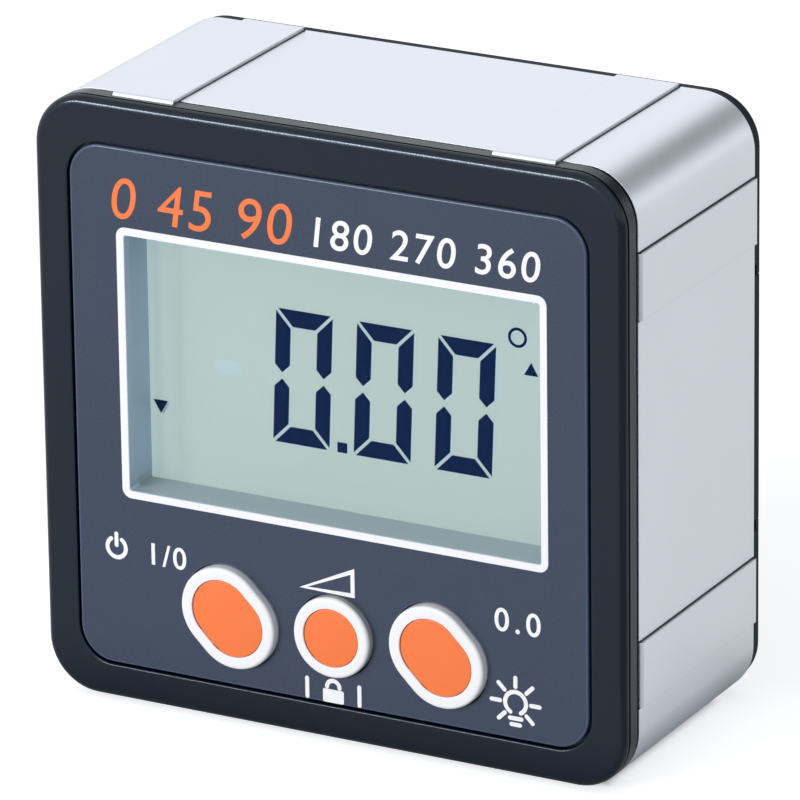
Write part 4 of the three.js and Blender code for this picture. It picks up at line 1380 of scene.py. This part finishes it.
class INCLINOMETER_OT_back_cover(Builder, bpy.types.Operator):
    """Builds the back cover: its rounded edge, battery tray, door grooves and screw wells"""

    bl_idname = "inclinometer.back_cover"
    bl_label = "Back cover"

    def build(self):
        case = case_sizes()
        wall, plug, lip_reach, head, well, hole = 1.0, 2.4, 3.6, 1.5, 2.35, 1.45
        tail_reach, half_tail, inner_edge, corner = 0.3, 1.2, 0.05, 0.3
        tray_front, back = extent("back_cover")[1]
        (door_left, door_right), (seat, _), (_, tongue) = extent("battery_door")
        half = tongue - case.tongue_door
        tray = extent("contact_bridge")[0, 0] - FIT
        floor = tray_front + wall
        heads = screw_places("case_screw")
        head_front = extent("case_screw_1")[1, 1] - head
        boss_front = seat - COVER_BOSS + 2 * FIT
        past = door_right + FAR
        opening = rounded(past - door_left + FIT, 2 * (half + FIT), corner,
                          (past + door_left - FIT) / 2, 0, steps=4)
        mouth = Shell().carried(opening, [(0, seat - FIT), *broken_edge(back, -1)])
        mouth.flat(seat - FIT, opening)
        mouth.flat(back + FAR, inset(opening, -BREAK))
        tail_z = [middle(f"{pole}_contact")[2] for pole in ("positive", "negative")]
        tail_left = extent("positive_contact")[0, 0] - 2 * FIT
        tails = several([block(((tail_left, -tray), (tray_front - FAR, floor + tail_reach),
                                (z - half_tail, z + half_tail))) for z in tail_z])
        mesh = combined(
            prism(case_outline(case.cover_inset), seat, back, inner_edge, case.cover_edge).mesh(),
            ("UNION", prism(bore_outline(case.lip_gap), back - plug, seat + FIT)),
            ("UNION", lip(back - lip_reach, seat - OVERRUN)),
            ("UNION", block(((tray - wall, wall - tray), (tray_front, seat - 2 * FIT),
                             (-half - wall, half + wall)))),
            ("UNION", posts(heads, case.boss, boss_front, seat - 3 * FIT)),
            ("DIFFERENCE", block(((tray, -tray), (floor, seat), (-half, half)))),
            ("DIFFERENCE", block(((door_left - FIT, past), (seat - FIT, seat + DOOR_TONGUE + FIT),
                                  (-tongue - FIT, tongue + FIT)))),
            ("DIFFERENCE", mouth),
            ("DIFFERENCE", posts(heads, hole, boss_front - FAR, head_front + 2 * FIT)),
            ("DIFFERENCE", posts(heads, well, head_front - SEAT, back, BREAK)),
            ("DIFFERENCE", tails),
        )
        black = matt_black("cover plastic")
        piece("cover_back", mesh, black, "case", "black_plastic", "back_cover")


class INCLINOMETER_OT_battery_door(Builder, bpy.types.Operator):
    """Builds the sliding battery door with its tongues and its ribbed thumb grip"""

    bl_idname = "inclinometer.battery_door"
    bl_label = "Battery door"

    def build(self):
        case = case_sizes()
        corner, rise, grip_corner, grip_ribs = 0.25, 0.001, 0.6, 4
        rib_width, rib_height, rib_corner, rib_sink = 0.8, 0.9, 0.25, 0.03
        (left, right), (seat, back), (_, tongue) = extent("battery_door")
        half = tongue - case.tongue_door
        past = right + FAR
        limits = rounded(past - left, 2 * half, corner, (past + left) / 2, 0, steps=4)
        stop = Shell().carried(limits, [(0, seat - FAR), *broken_edge(back, 1, rise)])
        stop.flat(seat - FAR, limits)
        stop.flat(back + FAR, inset(limits, BREAK))
        grip_left = CASE_WIDTH / 2 - case.grip_inset - case.grip
        mouth = rounded(case.grip, case.grip, grip_corner, grip_left + case.grip / 2, 0)
        floor = back - case.grip_depth
        bend = [(0.15, 0), (0.04, 0.03), (0, BREAK)]
        scoop = Shell().carried(mouth, [*[(inward, floor + up) for inward, up in bend],
                                        *broken_edge(back, -1)])
        scoop.flat(floor, inset(mouth, bend[0][0]))
        scoop.flat(back + FAR, inset(mouth, -BREAK))
        reach = case.grip / 2 - SEAT
        ribs = []
        for number in range(1, grip_ribs + 1):
            x = grip_left + number * case.grip / (grip_ribs + 1)
            line = rounded(rib_width, rib_height, rib_corner, x, back - rib_sink - rib_height / 2,
                           steps=4)
            ends = prism(line, -reach, reach)
            ribs.append(Shell().add(np.concatenate(ends.points)[:, [0, 2, 1]], ends.faces))
        tongues = block(((left, right - FIT), (seat, seat + DOOR_TONGUE), (-tongue, tongue)))
        mesh = combined(
            prism(case_outline(case.cover_inset), seat, back, 0.0, case.cover_edge).mesh(),
            ("INTERSECT", stop),
            ("UNION", tongues),
            ("DIFFERENCE", scoop),
            ("UNION", several(ribs)),
        )
        black = matt_black("door plastic")
        piece("door_battery", mesh, black, "door", "black_plastic", "battery_door")


class INCLINOMETER_OT_cells(Builder, bpy.types.Operator):
    """Builds the two cells with their rolled ends and raised contacts"""

    bl_idname = "inclinometer.cells"
    bl_label = "Cells"

    def build(self):
        # Radius and distance from the flat end: the bare cup, the can, and the raised contact
        profile = np.array([
            (0, 0.3), (2.7, 0.3), (3.0, 0.02), (4.3, 0.0), (4.6, 0.1), (4.75, 0.3), (4.95, 0.3),
            (5.15, 0.38), (5.25, 0.55), (5.25, 43.1), (5.17, 43.32), (4.95, 43.45),
            (4.75, 43.5), (4.6, 43.62), (4.3, 43.7), (4.1, 43.55), (3.9, 43.35), (2.4, 43.3),
            (2.05, 43.4), (1.9, 43.6), (1.9, 44.2), (1.8, 44.42), (1.6, 44.5), (0, 44.5)])
        for side in ("upper", "lower"):
            node = f"battery_cell_{side}"
            (x0, x1), _, _ = extent(node)
            _, depth, z = middle(node)
            along = profile.copy()
            along[:, 1] = x0 + profile[:, 1] if side == "upper" else x1 - profile[:, 1]
            cell = Shell().turned(along, (0, depth, z), 0)
            piece(f"cell_{side}", cell, cell_jacket(node), "case", "cell_jacket", node)


class INCLINOMETER_OT_contacts(Builder, bpy.types.Operator):
    """Builds the conical contact springs and finishes the contact plates"""

    bl_idname = "inclinometer.contacts"
    bl_label = "Battery contacts"

    def build(self):
        steel = plated("contact plate", chosen("steel"))
        dress(steel, "contact_bridge", "positive_contact", "negative_contact")
        wire, turns, wide, narrow, steps = 0.2, 2.5, 3.2, 1.9, 100
        for side in ("upper", "lower"):
            node = f"{side}_contact_spring"
            start, end = extent(node)[0] + (wire, -wire)
            if side == "lower":
                start, end = end, start
            _, depth, z = middle(f"battery_cell_{side}")
            share = np.linspace(0, 1, steps)
            turn = 2 * np.pi * turns * share
            radius = wide + (narrow - wide) * share
            path = np.stack([start + (end - start) * share, depth + radius * np.cos(turn),
                             z + radius * np.sin(turn)], -1)
            piece(f"spring_{side}", tube(path, wire, 12), steel, "case", "steel", node)


class INCLINOMETER_OT_screws(Builder, bpy.types.Operator):
    """Builds the case screws and the board screws with their cross recesses"""

    bl_idname = "inclinometer.screws"
    bl_label = "Screws"

    def build(self):
        steel = plated("screw steel", chosen("steel"), 0.28)
        # Radii of shank and head, height of the head, reach of the cross, length of the tip
        kinds = {"case": (1.15, 2.1, 1.5, 1.25, 0.8), "board": (0.75, 1.6, 1.0, 0.9, 0.5)}
        for kind, (shank, head, height, cross, tip) in kinds.items():
            for number in range(1, 5):
                node = f"{kind}_screw_{number}"
                front, back = extent(node)[1]
                x, _, z = middle(node)
                profile = self.profile(front, back, shank, head, height, tip)
                screw = Shell().turned(profile, (x, 0, z), 1, SCREW_STEPS).mesh()
                mesh = combined(screw, ("DIFFERENCE", self.recess(x, z, back, height, cross)))
                piece(f"screw_{kind}_{number}", mesh, steel, "case", "steel", node)

    def profile(self, front, back, shank, head, height, tip):
        """A blunt tip, rings for the thread, a plain neck and a domed head with a low wall."""
        pitch, root_share, tip_share, neck_share, neck = 0.5, 0.78, 0.25, 0.8, 0.3
        head_edge, flat_share, wall_share, least_neck = 0.08, 0.55, 0.35, 0.4
        seat = back - height
        rings = int((seat - front - tip - least_neck) / pitch)
        thread = [point for ring in range(rings) for point in (
            (shank * root_share, front + tip + ring * pitch),
            (shank, front + tip + (ring + 0.5) * pitch))]
        dome = [(head * (flat_share + (1 - flat_share) * math.cos(a)),
                 seat + height * (wall_share + (1 - wall_share) * math.sin(a)))
                for a in np.linspace(0, np.pi / 2, 9)]
        return [(0, front), (shank * tip_share, front), *thread,
                (shank * neck_share, seat - neck), (shank, seat), (head - head_edge, seat),
                (head, seat + head_edge), *dome, (0, back)]

    def recess(self, x, z, back, height, cross):
        """The cross recess: a plus whose arms taper and whose walls slope inwards."""
        half, end = cross * 0.2, cross * 0.17
        mouth, lead, above, depth = -0.04, 0.1, 0.3, height * 0.55
        slope = half * 0.45
        corner = np.array([(cross, -end), (cross, end), (half, half)])
        quarters = [[[1, 0], [0, 1]], [[0, -1], [1, 0]], [[-1, 0], [0, -1]], [[0, 1], [-1, 0]]]
        plus = np.concatenate([corner @ np.array(turn).T for turn in quarters]) + (x, z)
        tool = Shell().carried(plus, [(mouth, back + above), (mouth, back), (0.0, back - lead),
                                      (slope, back - depth)])
        tool.flat(back + above, inset(plus, mouth))
        tool.flat(back - depth, inset(plus, slope))
        return tool


class INCLINOMETER_OT_stage(Builder, bpy.types.Operator):
    """Makes the floor, the surroundings, the lamps and the camera"""

    bl_idname = "inclinometer.stage"
    bl_label = "Stage"

    def build(self):
        scene = bpy.context.scene
        stage = scene.inclinometer_stage
        self.floor(stage)
        self.surroundings(scene, stage)
        self.lamp("key lamp", (-0.402, -0.769, 0.268), width=0.5, height=0.08, power=5.2)
        self.lamp("top lamp", (0.15, 0.1, 0.8), width=0.9, height=0.9, power=0.5)
        self.camera(scene, stage)
        scene.view_settings.view_transform = "Standard"

    def floor(self, stage):
        """A pale floor that glows white to the camera and is clear from below; along the object's
        foot the glow fades, a painted shadow. Reflections find a painted dark patch on it at the
        front right, painted shade in a ring round the object, and a painted glow under the object."""
        # Painted light on the floor: a dark patch, a shaded ring and a glow under the object that
        # only reflections see, and a shadow along the foot for the camera
        patch_left, patch_back, patch_slant = (28.0, 40.0), (-32.0, -20.0), 0.45
        foot_glow, reflected_shade_ring, foot_shadow = (-8.0, -6.0), (-3.0, 14.0), (-4.3, -2.5)
        under_power, reach = 1.8, 4.0
        shader = Shader("floor", Roughness=1.0, Specular_IOR_Level=0.0)
        colour = tuple(stage.floor)
        half_width, half_depth = CAD_BOX[1][0] / MM, CAD_BOX[1][1] / MM
        across, along = shader.axis(0), shader.axis(1)
        away = (abs(across) - half_width).greatest(abs(along) - half_depth)
        painted_dark_patch = (across.smooth(*patch_left) *
                (1 - (along - across * patch_slant).smooth(*patch_back)))
        mirrored = (away.smooth(*reflected_shade_ring) * (1 - painted_dark_patch) +
                    (1 - away.smooth(*foot_glow)) * under_power)
        shader.set(
            Base_Color=shader.mix(shader.noise(40.0, 2.0), tinted(colour, 0.99), colour),
            Emission_Color=shader.mix(
                shader.seen("Camera") * away.smooth(*foot_shadow) +
                shader.seen("Glossy") * mirrored * (stage.shine / stage.lift),
                BLACK, WHITE),
            Emission_Strength=stage.lift,
        )
        under = shader.node("ShaderNodeNewGeometry").outputs["Backfacing"]
        clear = shader.node("ShaderNodeBsdfTransparent").outputs[0]
        both = shader.node("ShaderNodeMixShader", None,
                           {0: under, 1: shader.surface.outputs[0], 2: clear})
        mesh = bpy.data.meshes.new("floor")
        corners = [(-reach, -reach, 0), (reach, -reach, 0), (reach, reach, 0), (-reach, reach, 0)]
        mesh.from_pydata(corners, [], [(0, 1, 2, 3)])
        mesh.materials.append(shader.show(both.outputs[0]))
        floor = bpy.data.objects.new("floor", mesh)
        bpy.context.collection.objects.link(floor)

    def surroundings(self, scene, stage):
        """A white room with a dark corner behind the object's right; white to the camera."""
        corner_right, corner_behind, corner_high = (-0.15, 0.25), (0.2, 0.6), (0.1, 0.4)
        ceiling, ceiling_loss = (0.75, 0.95), 0.3
        world = bpy.data.worlds.new("surroundings")
        scene.world = world
        world.use_nodes = True
        room = Nodes(world.node_tree)
        way = room.node("ShaderNodeTexCoord").outputs["Generated"]
        ways = room.node("ShaderNodeSeparateXYZ", None, {0: way}).outputs
        right, behind, high = [Value(room, ways[index]) for index in range(3)]
        corner = (right.smooth(*corner_right) * behind.smooth(*corner_behind) *
                  high.smooth(*corner_high))
        shiny = room.seen("Glossy", "Transmission")
        above = high.smooth(*ceiling)
        light = (shiny * (1 - stage.sky) + stage.sky) * (1 - corner * (1 - stage.dim))
        light = light * (1 - above * ceiling_loss)
        camera = room.seen("Camera")
        background = room.tree.nodes["Background"]
        room.feed(background.inputs["Color"], room.mix(camera, tuple(stage.cool), WHITE))
        room.feed(background.inputs["Strength"], camera + (1 - camera) * light)

    def lamp(self, name, place, width, height, power):
        """A soft rectangular lamp that faces the middle of the object."""
        data = bpy.data.lights.new(name, "AREA")
        data.shape = "RECTANGLE"
        data.size, data.size_y, data.energy = width, height, power
        lamp = bpy.data.objects.new(name, data)
        lamp.location = place
        aim = Vector((0, 0, MIDDLE_Z)) - Vector(place)
        lamp.rotation_mode = "QUATERNION"
        lamp.rotation_quaternion = aim.to_track_quat("-Z", "Y")
        bpy.context.collection.objects.link(lamp)

    def camera(self, scene, stage):
        """The camera looks along its heading and pitch at a point of the face."""
        heading, pitch, roll = stage.heading, stage.pitch, stage.roll
        back = Vector((math.sin(heading) * math.cos(pitch),
                       -math.cos(heading) * math.cos(pitch), math.sin(pitch)))
        right = Vector((math.cos(heading), math.sin(heading), 0))
        up = back.cross(right)
        turned_right = math.cos(roll) * right + math.sin(roll) * up
        turned_up = math.cos(roll) * up - math.sin(roll) * right
        data = bpy.data.cameras.new("camera")
        data.lens, data.sensor_width = stage.lens, 36.0
        data.clip_start, data.clip_end = 0.05, 20.0
        camera = bpy.data.objects.new("camera", data)
        aim = Vector((stage.aim_across, FACE_Y, MIDDLE_Z + stage.aim_up))
        camera.matrix_world = Matrix.Translation(aim + stage.distance * back) @ Matrix(
            (turned_right, turned_up, back)).transposed().to_4x4()
        bpy.context.collection.objects.link(camera)
        scene.camera = camera


class INCLINOMETER_PT_pieces(bpy.types.Panel):
    """Lists the pieces, and the sizes and colours that they are built from"""

    bl_idname = "INCLINOMETER_PT_pieces"
    bl_label = "Inclinometer"
    bl_space_type = "VIEW_3D"
    bl_region_type = "UI"
    bl_category = "Inclinometer"

    def draw(self, context):
        for operator in OPERATORS:
            self.layout.operator(operator.bl_idname)
        for name, group in GROUPS.items():
            box = self.layout.box()
            box.label(text=group.__doc__)
            for key in group.__annotations__:
                box.prop(getattr(context.scene, name), key)


OPERATORS = (
    INCLINOMETER_OT_stage,
    INCLINOMETER_OT_body_frame,
    INCLINOMETER_OT_magnets,
    INCLINOMETER_OT_front_bezel,
    INCLINOMETER_OT_face_plate,
    INCLINOMETER_OT_print,
    INCLINOMETER_OT_display,
    INCLINOMETER_OT_keys,
    INCLINOMETER_OT_board,
    INCLINOMETER_OT_back_cover,
    INCLINOMETER_OT_battery_door,
    INCLINOMETER_OT_cells,
    INCLINOMETER_OT_contacts,
    INCLINOMETER_OT_screws,
)
GROUPS = {
    "inclinometer_case": CaseSizes,
    "inclinometer_face": FaceSizes,
    "inclinometer_finishes": Finishes,
    "inclinometer_stage": StageSettings,
}


def register():
    for name, group in GROUPS.items():
        bpy.utils.register_class(group)
        setattr(bpy.types.Scene, name, PointerProperty(type=group))
    for operator in OPERATORS:
        bpy.utils.register_class(operator)
    bpy.utils.register_class(INCLINOMETER_PT_pieces)


def unregister():
    bpy.utils.unregister_class(INCLINOMETER_PT_pieces)
    for operator in reversed(OPERATORS):
        bpy.utils.unregister_class(operator)
    for name, group in reversed(GROUPS.items()):
        delattr(bpy.types.Scene, name)
        bpy.utils.unregister_class(group)


def main():
    register()
    for operator in OPERATORS:
        group, name = operator.bl_idname.split(".")
        getattr(getattr(bpy.ops, group), name)()


if __name__ == "__main__":
    main()
